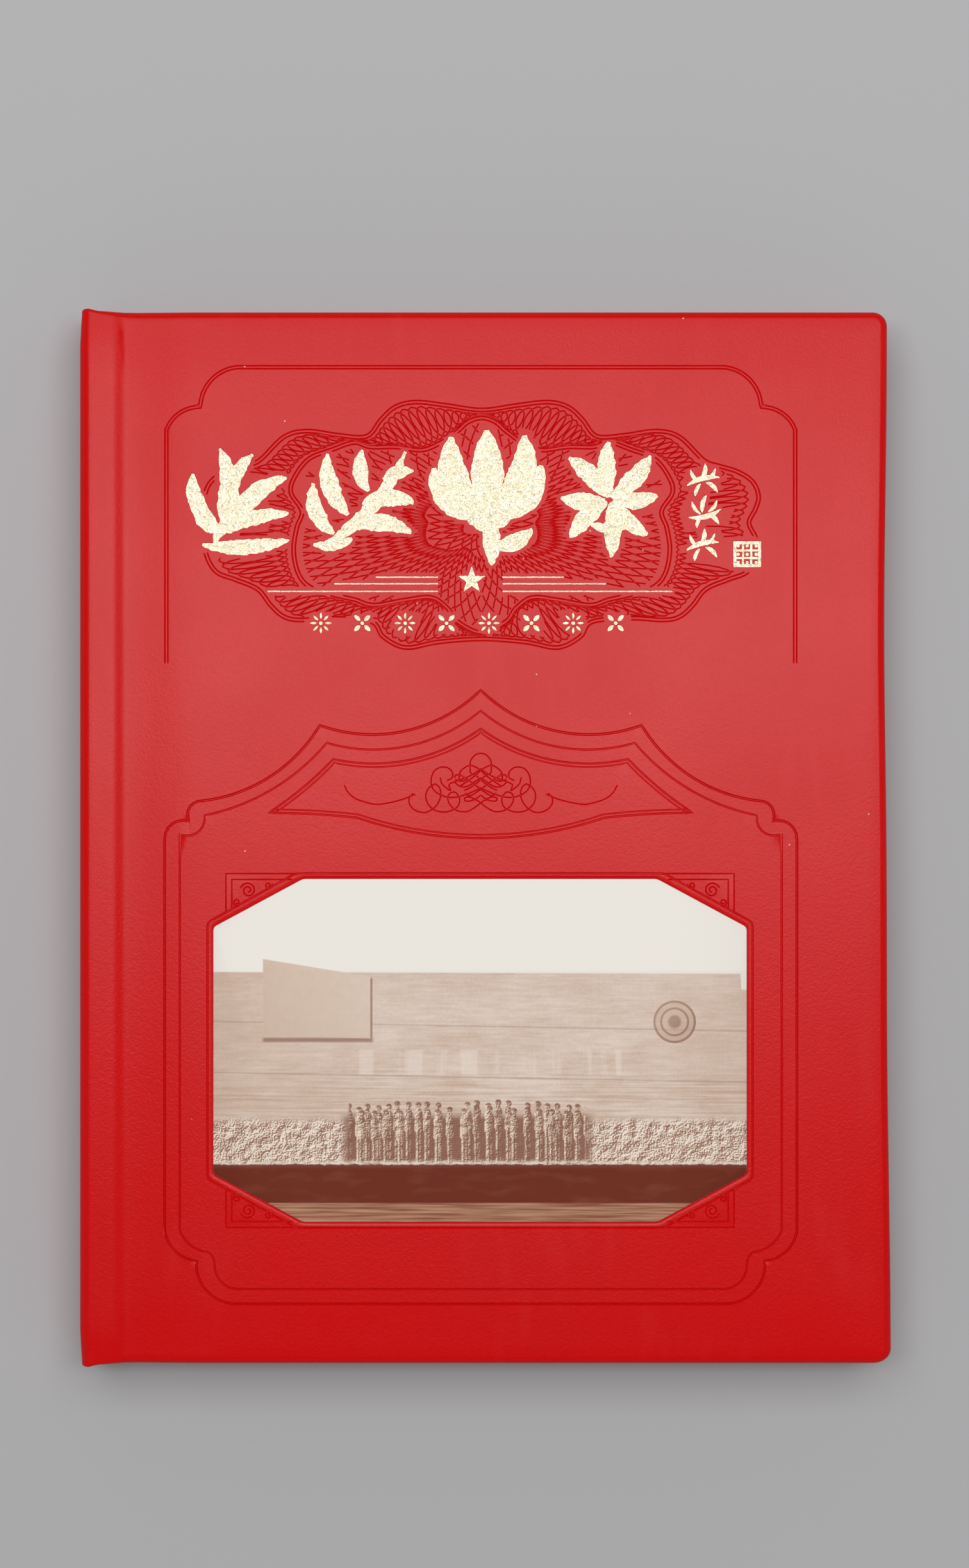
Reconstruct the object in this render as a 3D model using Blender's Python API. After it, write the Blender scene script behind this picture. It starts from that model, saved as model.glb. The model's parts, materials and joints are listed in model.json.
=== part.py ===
"""A stamp album with a padded leatherette case and eight stock leaves, lying closed on its back cover.

The origin is the centre of the underside. +X runs from the spine to the fore-edge, +Y from the
tail to the head and +Z from the back cover to the front cover. Pieces are placed by their distance
from the spine's outer face, which from_spine() turns into X.

The case flexes at two joints, one on each corner of the spine. Opened flat, the spine lies between
the covers, and the leaves turn about one line in the middle of the block, so both halves of the
block end up at the same height.
"""

import math

import bmesh
import bpy
from mathutils import Matrix

# The covers
ALBUM_WIDTH = 0.2344  # spine face to fore-edge
ALBUM_HEIGHT = 0.305  # tail to head of the covers
SKIN = 0.0009  # leatherette
PADDING = 0.0020  # foam under the leatherette
BOARD = 0.0024  # greyboard
GLUE_GAP = 0.0001  # between two sheets that are glued together
EDGE_ROUNDING = 0.0028  # the padded outer edges of a cover
INNER_ROUNDING = 0.0006  # where the leatherette turns in
PLAN_CORNER = 0.0030  # a cover's corners at the fore-edge, seen from above
TURN_IN = 0.0150  # leatherette folded over the inside of a board
PASTEDOWN = 0.00025  # endpaper glued inside a cover
PASTEDOWN_MARGIN = 0.0040

# The spine and its joints
CORNER_RADIUS = 0.0040  # where the leatherette turns from spine to cover
SPINE_BOARD = 0.0022
SPINE_LINER = 0.0008
SPINE_CAP = 0.0010  # how far the spine stands proud at head and tail
SPINE_TURN_IN = 0.0140
JOINT_GAP = 0.0003  # between the rigid pieces that stand for one flexible sheet
GROOVE_START = 0.0076  # from the spine face to where the joint starts to sink
GROOVE_END = 0.0125  # to where the cover's own edge starts
GROOVE_DEPTH = 0.0014
ARC_STEPS = 6

# The window in the front cover and the print behind it
WINDOW_WIDTH = 0.1547
WINDOW_HEIGHT = 0.0995
WINDOW_CUT = (0.0260, 0.0140)  # what each corner loses, along and up
WINDOW_CENTRE = 0.1162  # from the spine face
WINDOW_CENTRE_UP = 0.0909  # from the tail
PRINT_CARD = 0.0004
PRINT_MARGIN = 0.0003

# The leaves
LEAF_COUNT = 8
SQUARE_END = 0.0040  # the covers stand this far past the pages at head and tail
SQUARE_FORE = 0.0053  # and at the fore-edge
PAGE_CARD = 0.0010
PAGE_CORNER = 0.0030
POCKET_FILM = 0.0002
FILM_GAP = 0.0001
INTERLEAF = 0.00012
INTERLEAF_GAP = 0.00015
LEAF_CLEARANCE = 0.00023  # between one leaf and the next
FLYLEAF = 0.0003
FLYLEAF_CLEARANCE = 0.00025

# The pockets on a page
POCKET_ROWS = 7
POCKET_MARGIN_SIDE = 0.0070
POCKET_MARGIN_END = 0.0060
POCKET_SLOT = 0.0015  # between two rows
POCKET_RAIL = 0.0030  # film left at each end of a slot

# The binding
LINEN = 0.0004
LINEN_GRIP = 0.0080  # linen glued over a leaf's binding edge
LINEN_FLANGE = 0.00025
LINEN_FLANGE_GAP = 0.00005
BLOCK_DEPTH = 0.0025  # the sewn back that holds the linen
BLOCK_GAP = 0.0001
BLOCK_SHORTER = 0.0020  # less than the page at each end
BAND_LENGTH = 0.0014
BAND_ROUNDING = 0.0006
GUTTER = 0.0023  # from the line that the leaves turn about to a leaf's edge

# Heights, from the underside up
COVER = SKIN + GLUE_GAP + PADDING + GLUE_GAP + BOARD + GLUE_GAP + SKIN
LINED_COVER = COVER + GLUE_GAP + PASTEDOWN
CARD_RISE = POCKET_FILM + FILM_GAP
LEAF = CARD_RISE + PAGE_CARD + FILM_GAP + POCKET_FILM
LEAF_PITCH = LEAF + INTERLEAF_GAP + INTERLEAF + LEAF_CLEARANCE
LEAVES_START = LINED_COVER + FLYLEAF_CLEARANCE + FLYLEAF + LEAF_CLEARANCE
FRONT_FLYLEAF = LEAVES_START + (LEAF_COUNT - 1) * LEAF_PITCH + LEAF + LEAF_CLEARANCE
THICKNESS = FRONT_FLYLEAF + FLYLEAF + FLYLEAF_CLEARANCE + LINED_COVER
MIDDLE = THICKNESS / 2

# Hinge lines. A corner's joint keeps its outer length if it turns about this point.
CORNER_TURN = CORNER_RADIUS * (1 - math.pi / 4)
PAGE_START = MIDDLE + GUTTER
PAGE_WIDTH = ALBUM_WIDTH - SQUARE_FORE - PAGE_START
PAGE_HEIGHT = ALBUM_HEIGHT - 2 * SQUARE_END
SPINE_INSIDE = SKIN + GLUE_GAP + SPINE_BOARD + GLUE_GAP
BLOCK_START = SPINE_INSIDE + SKIN + BLOCK_GAP
COVER_START = GROOVE_END + JOINT_GAP

LEATHERETTE = ("red_leatherette", (0.60, 0.012, 0.014), 0.55)
FOAM = ("white_foam", (0.82, 0.80, 0.76), 0.95)
GREYBOARD = ("greyboard", (0.36, 0.33, 0.28), 0.90)
ENDPAPER = ("cream_endpaper", (0.83, 0.78, 0.68), 0.80)
PRINT = ("sepia_print", (0.80, 0.72, 0.62), 0.60)
PAGE = ("black_card", (0.012, 0.012, 0.013), 0.75)
FILM = ("clear_film", (0.85, 0.88, 0.90), 0.08)
GLASSINE = ("glassine", (0.85, 0.84, 0.80), 0.35)
CLOTH = ("black_linen", (0.02, 0.02, 0.022), 0.90)
BAND = ("red_band", (0.45, 0.02, 0.02), 0.85)


def from_spine(distance):
    """X at this distance from the spine's outer face."""
    return distance - ALBUM_WIDTH / 2


def from_tail(distance):
    """Y at this distance from the covers' tail edge."""
    return distance - ALBUM_HEIGHT / 2


def clear_scene():
    for found in list(bpy.data.objects):
        bpy.data.objects.remove(found, do_unlink=True)


def material(finish):
    name, colour, roughness = finish
    made = bpy.data.materials.get(name) or bpy.data.materials.new(name)
    made.use_nodes = True
    shader = made.node_tree.nodes["Principled BSDF"]
    shader.inputs["Base Color"].default_value = (*colour, 1.0)
    shader.inputs["Roughness"].default_value = roughness
    shader.inputs["Metallic"].default_value = 0.0
    return made


def hinge(name, distance, height, parent=None):
    """An empty on a hinge line, which runs along Y."""
    made = bpy.data.objects.new(name, None)
    bpy.context.scene.collection.objects.link(made)
    made.location = (from_spine(distance), 0, height)
    if parent:
        made.parent = parent
        made.location -= parent.location
    bpy.context.view_layer.update()
    return made


def solid(name, shape):
    """An object from a bmesh in album coordinates."""
    bmesh.ops.recalc_face_normals(shape, faces=shape.faces)
    mesh = bpy.data.meshes.new(name)
    shape.to_mesh(mesh)
    shape.free()
    made = bpy.data.objects.new(name, mesh)
    bpy.context.scene.collection.objects.link(made)
    return made


def piece(name, shape, finish, parent=None, cutters=()):
    """A finished piece: the shape less its cutters, with its origin on its parent's hinge line."""
    made = solid(name, shape)
    if cutters:
        cut(made, cutters)
    if parent:
        made.data.transform(Matrix.Translation(-parent.matrix_world.translation))
        made.parent = parent
    made.data.materials.clear()
    made.data.materials.append(material(finish))
    made.data.shade_smooth()
    made.data.set_sharp_from_angle(angle=math.radians(35))
    return made


def prism(outline, along):
    """A closed solid: the outline's points, pushed along a vector."""
    shape = bmesh.new()
    face = shape.faces.new([shape.verts.new(point) for point in outline])
    pushed = bmesh.ops.extrude_face_region(shape, geom=[face])
    moved = [v for v in pushed["geom"] if isinstance(v, bmesh.types.BMVert)]
    bmesh.ops.translate(shape, verts=moved, vec=along)
    bmesh.ops.recalc_face_normals(shape, faces=shape.faces)
    return shape


def slab(outline, low, high):
    """A flat piece: (x, y) points between two heights."""
    return prism([(x, y, low) for x, y in outline], (0, 0, high - low))


def rectangle(left, right, tail, head):
    return [(left, tail), (right, tail), (right, head), (left, head)]


def corner(centre, radius, start, steps=ARC_STEPS):
    """A quarter turn's points, from the start angle, anticlockwise."""
    angles = [start + math.pi / 2 * i / steps for i in range(steps + 1)]
    return [(centre[0] + radius * math.cos(a), centre[1] + radius * math.sin(a)) for a in angles]


def rounded_at_fore_edge(left, right, half_height, radius):
    """A rectangle whose two corners at the fore-edge are round."""
    return [
        (left, -half_height),
        *corner((right - radius, -half_height + radius), radius, -math.pi / 2),
        *corner((right - radius, half_height - radius), radius, 0),
        (left, half_height),
    ]


def octagon(width, height, cut, centre):
    """A rectangle that has lost its corners."""
    a, b = width / 2, height / 2
    c, d = a - cut[0], b - cut[1]
    points = [(-c, -b), (c, -b), (a, -d), (a, d), (c, b), (-c, b), (-a, d), (-a, -d)]
    return [(centre[0] + x, centre[1] + y) for x, y in points]


def round_edges(shape, radius, steps, chosen):
    """Bevels the edges for which chosen(first point, second point) is true."""
    edges = [e for e in shape.edges if chosen(e.verts[0].co, e.verts[1].co)]
    bmesh.ops.bevel(shape, geom=edges, offset=radius, segments=steps, profile=0.5, affect="EDGES")


def cut(target, cutters):
    """Takes each cutter's shape out of the target, and removes the cutters."""
    tools = [solid(f"{target.name}_cutter_{i}", shape) for i, shape in enumerate(cutters)]
    for tool in tools:
        tool.hide_render = True
        tool.display_type = "WIRE"
        modifier = target.modifiers.new(tool.name, "BOOLEAN")
        modifier.operation = "DIFFERENCE"
        modifier.solver = "EXACT"
        modifier.object = tool
    bpy.context.view_layer.update()
    graph = bpy.context.evaluated_depsgraph_get()
    result = bpy.data.meshes.new_from_object(target.evaluated_get(graph))
    target.modifiers.clear()
    target.data = result
    for tool in tools:
        bpy.data.objects.remove(tool, do_unlink=True)


def turned_over(shape, front):
    """The back cover's pieces are the front cover's, mirrored about the album's middle height."""
    if not front:
        bmesh.ops.scale(shape, vec=(1, 1, -1), verts=shape.verts)
        bmesh.ops.translate(shape, vec=(0, 0, THICKNESS), verts=shape.verts)
        bmesh.ops.reverse_faces(shape, faces=shape.faces)
    return shape


def cover_block(inset, low, high, inner_rounding=0):
    """A padded cover's outer form, made smaller by inset on its four sides."""
    left, right = from_spine(COVER_START + inset), from_spine(ALBUM_WIDTH - inset)
    half = ALBUM_HEIGHT / 2 - inset
    shape = slab(rounded_at_fore_edge(left, right, half, PLAN_CORNER - inset / 2), low, high)

    def level(a, b, height):
        return abs(a.z - height) < 1e-6 and abs(b.z - height) < 1e-6

    round_edges(shape, EDGE_ROUNDING - inset, 4, lambda a, b: level(a, b, high))
    if inner_rounding:
        round_edges(
            shape,
            inner_rounding,
            1,
            lambda a, b: level(a, b, low) and max(a.x, b.x) > left + 1e-6,
        )
    return shape


def window_shape(grown):
    centre = (from_spine(WINDOW_CENTRE), from_tail(WINDOW_CENTRE_UP))
    return octagon(WINDOW_WIDTH + 2 * grown, WINDOW_HEIGHT + 2 * grown, WINDOW_CUT, centre)


def cover_skin(name, front, parent):
    """The leatherette of one cover, wrapped round its padding and board, with turned-in edges."""
    low = THICKNESS - COVER
    shape = cover_block(0, low, THICKNESS, INNER_ROUNDING)
    inside = cover_block(SKIN, low + SKIN, THICKNESS - SKIN)
    half = ALBUM_HEIGHT / 2 - TURN_IN
    past = from_spine(COVER_START) - SKIN
    outline = rectangle(past, from_spine(ALBUM_WIDTH - TURN_IN), -half, half)
    opening = slab(outline, low - SKIN, low + BOARD)
    cutters = [turned_over(inside, front), turned_over(opening, front)]
    if front:
        cutters.append(slab(window_shape(0), THICKNESS - SKIN - PADDING, THICKNESS + SKIN))
    piece(f"{name}_skin", turned_over(shape, front), LEATHERETTE, parent, cutters)


def cover_filling(name, front, parent):
    """The foam and the board inside one cover's leatherette."""
    inset = SKIN + GLUE_GAP
    top = THICKNESS - inset
    foam = cover_block(inset, top - PADDING, top)
    piece(f"{name}_padding", turned_over(foam, front), FOAM, parent)
    top -= PADDING + GLUE_GAP
    left, right = from_spine(COVER_START + inset), from_spine(ALBUM_WIDTH - inset)
    half = ALBUM_HEIGHT / 2 - inset
    outline = rounded_at_fore_edge(left, right, half, PLAN_CORNER - inset / 2)
    board = turned_over(slab(outline, top - BOARD, top), front)
    piece(f"{name}_board", board, GREYBOARD, parent)


def pastedown(name, front, parent):
    """The endpaper that hides the turned-in edges inside a cover."""
    low = THICKNESS - LINED_COVER
    outline = rectangle(
        from_spine(COVER_START + SKIN),
        from_spine(ALBUM_WIDTH - PASTEDOWN_MARGIN),
        -ALBUM_HEIGHT / 2 + PASTEDOWN_MARGIN,
        ALBUM_HEIGHT / 2 - PASTEDOWN_MARGIN,
    )
    shape = turned_over(slab(outline, low, low + PASTEDOWN), front)
    piece(f"{name}_pastedown", shape, ENDPAPER, parent)


def joint_strip(name, front, parent):
    """The leatherette from the spine's corner to the cover's edge, with the pressed groove."""
    top = THICKNESS
    centre = (CORNER_RADIUS, top - CORNER_RADIUS)
    outer = corner(centre, CORNER_RADIUS, math.pi / 2)[::-1]
    inner = corner(centre, CORNER_RADIUS - SKIN, math.pi / 2)
    sunk = top - GROOVE_DEPTH
    half_way = (GROOVE_START + GROOVE_END) / 2
    outer += [(GROOVE_START, top), (half_way, sunk), (GROOVE_END, sunk)]
    inner = [(GROOVE_END, sunk - SKIN), (half_way, sunk - SKIN), (GROOVE_START, top - SKIN), *inner]
    half = ALBUM_HEIGHT / 2
    profile = [(from_spine(u), -half, z) for u, z in outer + inner]
    shape = turned_over(prism(profile, (0, 2 * half, 0)), front)
    piece(f"{name}_joint", shape, LEATHERETTE, parent)


def window_print(parent):
    """The printed card in the front window, on the padding."""
    low = THICKNESS - SKIN
    shape = slab(window_shape(-PRINT_MARGIN), low, low + PRINT_CARD)
    piece("window_print", shape, PRINT, parent)


def spine_pieces(parent):
    """The spine's board, its leatherette with turned-in ends, and its paper liner."""
    low, high = CORNER_RADIUS + JOINT_GAP / 2, THICKNESS - CORNER_RADIUS - JOINT_GAP / 2
    end = ALBUM_HEIGHT / 2 + SPINE_CAP
    board_end = end - SKIN - GLUE_GAP
    inside = SPINE_INSIDE
    lip = end - SPINE_TURN_IN
    radius = SKIN
    outer_end = [
        (inside + SKIN, lip),
        *corner((inside + SKIN - radius, end - radius), radius, 0, 3),
        *corner((radius, end - radius), radius, math.pi / 2, 3),
    ]
    inner_end = [(SKIN, board_end + GLUE_GAP), (inside, board_end + GLUE_GAP), (inside, lip)]
    outer_tail = [(u, -y) for u, y in reversed(outer_end)]
    inner_tail = [(u, -y) for u, y in reversed(inner_end)]
    outline = outer_end + outer_tail + inner_tail + inner_end
    profile = [(from_spine(u), y) for u, y in outline]
    piece("spine_skin", slab(profile, low, high), LEATHERETTE, parent)
    start = SKIN + GLUE_GAP
    left, right = from_spine(start), from_spine(start + SPINE_BOARD)
    outline = rectangle(left, right, -board_end, board_end)
    piece("spine_board", slab(outline, low, high), GREYBOARD, parent)
    liner_end = lip - GLUE_GAP
    left, right = from_spine(inside), from_spine(inside + SPINE_LINER)
    outline = rectangle(left, right, -liner_end, liner_end)
    piece("spine_liner", slab(outline, low, high), ENDPAPER, parent)


def card_height(number):
    """The underside of a leaf's card. Leaf 1 lies on the back cover."""
    return LEAVES_START + (number - 1) * LEAF_PITCH + CARD_RISE


def binding(parent):
    """The sewn back that the leaves' linen is fixed in, and a band at its head and tail."""
    low = card_height(1)
    high = card_height(LEAF_COUNT) + PAGE_CARD
    end = PAGE_HEIGHT / 2 - BLOCK_SHORTER
    left, right = from_spine(BLOCK_START), from_spine(BLOCK_START + BLOCK_DEPTH)
    piece("binding_back", slab(rectangle(left, right, -end, end), low, high), CLOTH, parent)
    for name, start in (
        ("head_band", end + BLOCK_GAP),
        ("tail_band", -end - BLOCK_GAP - BAND_LENGTH),
    ):
        shape = slab(rectangle(left, right, start, start + BAND_LENGTH), low, high)
        round_edges(shape, BAND_ROUNDING, 2, lambda a, b: abs(a.z - b.z) > BAND_LENGTH)
        piece(name, shape, BAND, parent)


def pocket_sheet(name, low, parent):
    """Clear film for one page: rows held together by a rail at each end of the slots."""
    left = from_spine(PAGE_START + LINEN_GRIP + POCKET_MARGIN_SIDE / 4)
    right = from_spine(PAGE_START + PAGE_WIDTH - POCKET_MARGIN_SIDE)
    end = PAGE_HEIGHT / 2 - POCKET_MARGIN_END
    row = 2 * end / POCKET_ROWS
    slots = []
    for i in range(1, POCKET_ROWS):
        y = -end + i * row
        tail, head = y - POCKET_SLOT / 2, y + POCKET_SLOT / 2
        outline = rectangle(left + POCKET_RAIL, right - POCKET_RAIL, tail, head)
        slots.append(slab(outline, low - POCKET_FILM, low + 2 * POCKET_FILM))
    shape = slab(rectangle(left, right, -end, end), low, low + POCKET_FILM)
    piece(name, shape, FILM, parent, slots)


def linen_hinge(name, low, parent):
    """A linen strip from the sewn back, forked over the leaf's binding edge."""
    middle = low + PAGE_CARD / 2
    inner = PAGE_CARD / 2 + LINEN_FLANGE_GAP
    outer = inner + LINEN_FLANGE
    start = BLOCK_START + BLOCK_DEPTH + BLOCK_GAP
    root = PAGE_START - GLUE_GAP - 2 * LINEN
    end = PAGE_START + LINEN_GRIP
    upper = [
        (start, LINEN / 2),
        (root, LINEN / 2),
        (root + LINEN, outer),
        (end, outer),
        (end, inner),
        (PAGE_START - GLUE_GAP, inner),
    ]
    points = upper + [(u, -z) for u, z in reversed(upper)]
    half = PAGE_HEIGHT / 2 - BLOCK_SHORTER
    profile = [(from_spine(u), -half, middle + z) for u, z in points]
    piece(name, prism(profile, (0, 2 * half, 0)), CLOTH, parent)


def leaf(number, parent):
    """One stock leaf: card, film pockets on both sides, linen hinge and, on all but the last,
    a glassine interleaf."""
    name = f"leaf_{number}"
    low = card_height(number)
    left, right = from_spine(PAGE_START), from_spine(PAGE_START + PAGE_WIDTH)
    half = PAGE_HEIGHT / 2
    outline = rounded_at_fore_edge(left, right, half, PAGE_CORNER)
    piece(f"{name}_card", slab(outline, low, low + PAGE_CARD), PAGE, parent)
    pocket_sheet(f"{name}_pockets_under", low - FILM_GAP - POCKET_FILM, parent)
    pocket_sheet(f"{name}_pockets_over", low + PAGE_CARD + FILM_GAP, parent)
    linen_hinge(f"{name}_hinge_linen", low, parent)
    if number < LEAF_COUNT:
        start = low + PAGE_CARD + FILM_GAP + POCKET_FILM + INTERLEAF_GAP
        shape = slab(rectangle(left, right, -half, half), start, start + INTERLEAF)
        piece(f"{name}_interleaf", shape, GLASSINE, parent)


def flyleaf(name, low, parent):
    """An endpaper's free half."""
    half = PAGE_HEIGHT / 2
    outline = rectangle(from_spine(PAGE_START), from_spine(PAGE_START + PAGE_WIDTH), -half, half)
    piece(name, slab(outline, low, low + FLYLEAF), ENDPAPER, parent)


def main():
    clear_scene()
    spine = hinge("spine_hinge", CORNER_TURN, CORNER_TURN)
    front = hinge("front_cover_hinge", CORNER_TURN, THICKNESS - CORNER_TURN, spine)
    leaves = [
        hinge(f"leaf_{n}_hinge", MIDDLE, MIDDLE, spine) for n in range(1, LEAF_COUNT + 1)
    ]
    for name, is_front, parent in (("back_cover", False, None), ("front_cover", True, front)):
        cover_skin(name, is_front, parent)
        cover_filling(name, is_front, parent)
        pastedown(name, is_front, parent)
        joint_strip(name, is_front, parent)
    window_print(front)
    spine_pieces(spine)
    binding(spine)
    for number, parent in enumerate(leaves, 1):
        leaf(number, parent)
    flyleaf("back_flyleaf", LINED_COVER + FLYLEAF_CLEARANCE, leaves[0])
    flyleaf("front_flyleaf", FRONT_FLYLEAF, leaves[-1])


main()
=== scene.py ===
"""Looks for a closed stamp album: pressed red leatherette, gold foil ornament, a sepia window print
and eight stock leaves with clear pockets.

Lengths inside the pressing and wrapping code are millimetres. The leatherette is worked flat, in
sheet coordinates: u runs from the middle of the spine over its corner to the fore-edge, v runs from
tail to head. A wrap turns them into the album's frame.
"""

import json
import logging
import math
import random
from collections.abc import Callable
from dataclasses import dataclass, field
from enum import Enum

import bmesh
import bpy
import numpy as np
from bpy.types import GeometryNodeTree, Material, Node, NodeTree, Object
from bpy.types import NodeSocket as Socket
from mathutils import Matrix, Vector
from mathutils.geometry import delaunay_2d_cdt
from mathutils.kdtree import KDTree

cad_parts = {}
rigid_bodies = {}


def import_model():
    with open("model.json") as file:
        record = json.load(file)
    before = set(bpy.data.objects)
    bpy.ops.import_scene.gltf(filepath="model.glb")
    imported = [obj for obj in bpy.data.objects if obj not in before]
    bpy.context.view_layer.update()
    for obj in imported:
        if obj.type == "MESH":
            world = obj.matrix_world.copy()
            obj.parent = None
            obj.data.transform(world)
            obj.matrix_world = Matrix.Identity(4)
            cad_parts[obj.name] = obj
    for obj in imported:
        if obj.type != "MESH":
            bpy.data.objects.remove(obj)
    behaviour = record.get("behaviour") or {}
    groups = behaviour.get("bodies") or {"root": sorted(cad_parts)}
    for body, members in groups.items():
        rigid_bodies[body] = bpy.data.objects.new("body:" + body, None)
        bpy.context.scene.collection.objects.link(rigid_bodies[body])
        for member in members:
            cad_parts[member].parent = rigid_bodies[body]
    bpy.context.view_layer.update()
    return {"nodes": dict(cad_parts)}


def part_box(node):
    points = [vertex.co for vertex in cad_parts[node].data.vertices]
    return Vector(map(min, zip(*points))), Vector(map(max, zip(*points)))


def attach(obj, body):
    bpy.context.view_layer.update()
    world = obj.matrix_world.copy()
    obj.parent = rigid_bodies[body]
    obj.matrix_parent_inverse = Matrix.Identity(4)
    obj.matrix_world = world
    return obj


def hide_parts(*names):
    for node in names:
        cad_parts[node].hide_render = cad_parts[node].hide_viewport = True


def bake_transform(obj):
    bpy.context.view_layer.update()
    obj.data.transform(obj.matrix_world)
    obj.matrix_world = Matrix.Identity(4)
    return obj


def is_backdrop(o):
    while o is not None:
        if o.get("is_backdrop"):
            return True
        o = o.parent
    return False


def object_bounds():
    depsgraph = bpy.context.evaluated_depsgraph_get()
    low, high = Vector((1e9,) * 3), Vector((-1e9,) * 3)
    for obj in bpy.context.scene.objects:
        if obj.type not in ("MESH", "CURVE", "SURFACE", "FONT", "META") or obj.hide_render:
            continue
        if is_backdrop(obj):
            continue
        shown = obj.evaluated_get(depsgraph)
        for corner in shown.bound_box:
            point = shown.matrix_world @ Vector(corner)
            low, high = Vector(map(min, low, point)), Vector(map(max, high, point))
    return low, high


LOG = logging.getLogger("album")
MM = 0.001
Pair = tuple[float, float]
Points = list[Pair]
Vec = tuple[float, float, float]
Value = Socket | float
Rows = np.ndarray
OfU = Callable[[float], float]  # a size that changes with u


class Side(Enum):
    """Which cover a piece belongs to."""

    FRONT = "front"
    BACK = "back"


class Tool(Enum):
    """The pressing tools: half width, half width of the flat floor, and depth, in millimetres."""

    BOLD_LINE = (0.42, 0.06, 0.48)
    LINE = (0.34, 0.05, 0.34)
    FINE_LINE = (0.26, 0.03, 0.24)
    HAIRLINE = (0.22, 0.03, 0.24)


# ---- drawing helpers


def as_rows(points: Points | Rows | list[float]) -> Rows:
    """Points, or x and y in turn, as an array of rows."""
    return np.array(points, float).reshape(-1, 2)


def bowed(path: list[Vec], step: float = 1.6) -> Rows:
    """A path of straight and circular runs.

    Args:
        path: (x, y, bow) rows. bow is the run's rise over half its chord, to the left if positive.
        step: the longest piece of a curved run.

    Returns:
        The path's points.
    """
    out = []
    for (x0, y0, bow), (x1, y1, _) in zip(path[:-1], path[1:]):
        chord = math.hypot(x1 - x0, y1 - y0)
        if abs(bow) < 1e-6:
            count = max(1, int(chord / 8))
        else:
            count = max(3, int(chord * (1 + bow * bow) / step))
        for i in range(count):
            t = i / count
            out.append(on_arc((x0, y0), (x1, y1), bow, t))
    out.append(path[-1][:2])
    return as_rows(out)


def on_arc(start: tuple, end: tuple, bow: float, t: float) -> Pair:
    """A point at share t of the circular arc from start to end with this bow.

    Args:
        start: where the arc starts.
        end: where it ends.
        bow: its rise over half its chord.
        t: the share of it.

    Returns:
        The point.
    """
    x0, y0 = start
    x1, y1 = end
    if abs(bow) < 1e-6:
        return x0 + (x1 - x0) * t, y0 + (y1 - y0) * t
    half = math.hypot(x1 - x0, y1 - y0) / 2
    sweep = 4 * math.atan(abs(bow))
    radius = half / math.sin(sweep / 2)
    angle = sweep * (t - 0.5)
    along = radius * math.sin(angle)
    rise = radius * (math.cos(angle) - math.cos(sweep / 2)) * (1 if bow > 0 else -1)
    ux, uy = (x1 - x0) / (2 * half), (y1 - y0) / (2 * half)
    return (x0 + x1) / 2 + ux * along - uy * rise, (y0 + y1) / 2 + uy * along + ux * rise


def smooth_curve(points: Points | Rows, per_run: int = 6, closed: bool = False) -> Rows:
    """A smooth curve through the points (Catmull-Rom).

    Args:
        points: the points.
        per_run: pieces between two points.
        closed: whether its ends meet.

    Returns:
        The curve's points.
    """
    rows = as_rows(points)
    count = len(rows)
    if closed:
        rows = np.vstack([rows[-1], rows, rows[0], rows[1]])
    else:
        rows = np.vstack([2 * rows[0] - rows[1], rows, 2 * rows[-1] - rows[-2]])
    runs = count if closed else count - 1
    share = np.arange(per_run)[:, None] / per_run
    out = []
    for i in range(runs):
        a, b, c, d = rows[i : i + 4]
        out.append(
            0.5
            * (
                2 * b
                + (c - a) * share
                + (2 * a - 5 * b + 4 * c - d) * share**2
                + (3 * b - a - 3 * c + d) * share**3
            )
        )
    out = np.vstack(out)
    return out if closed else np.vstack([out, rows[-2]])


def mirrored(rows: Rows, about: float) -> Rows:
    """The rows mirrored left to right, in reverse order.

    Args:
        rows: points along the line.
        about: the x of the axis.

    Returns:
        The mirrored rows.
    """
    flipped = rows[::-1].copy()
    flipped[:, 0] = 2 * about - flipped[:, 0]
    return flipped


def by_angle(rows: Rows, centre: Rows, squash: float, count: int) -> Rows:
    """A closed outline resampled at even angles about its centre.

    Args:
        rows: the outline.
        centre: the centre.
        squash: how much x is shrunk before angles are measured.
        count: how many points to return.

    Returns:
        The points.
    """
    away = rows - centre
    angle = np.unwrap(np.arctan2(away[:, 1], away[:, 0] / squash))
    if angle[-1] < angle[0]:
        angle, away = angle[::-1], away[::-1]
    keep = np.concatenate([[True], np.diff(np.maximum.accumulate(angle)) > 1e-6])
    angle, away = angle[keep], away[keep]
    wanted = np.arange(count) / count * math.tau
    xs = np.interp(wanted, angle, away[:, 0], period=math.tau)
    ys = np.interp(wanted, angle, away[:, 1], period=math.tau)
    return centre + np.stack([xs, ys], 1)


def side_vectors(rows: Rows, closed: bool) -> Rows:
    """Unit vectors to the left of a polyline at each point.

    Args:
        rows: points along the line.
        closed: whether its ends meet.

    Returns:
        One vector for each point.
    """
    if closed:
        ahead = np.roll(rows, -1, 0) - np.roll(rows, 1, 0)
    else:
        ahead = np.gradient(rows, axis=0)
    length = np.maximum(np.linalg.norm(ahead, axis=1), 1e-9)
    ahead = ahead / length[:, None]
    return np.stack([-ahead[:, 1], ahead[:, 0]], 1)


def near_box(points: Rows, shape: Rows, margin: float) -> Rows:
    """The numbers of the points that lie in a shape's box, grown by a margin."""
    low, high = shape.min(0) - margin, shape.max(0) + margin
    return np.nonzero(((points > low) & (points < high)).all(1))[0]


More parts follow.
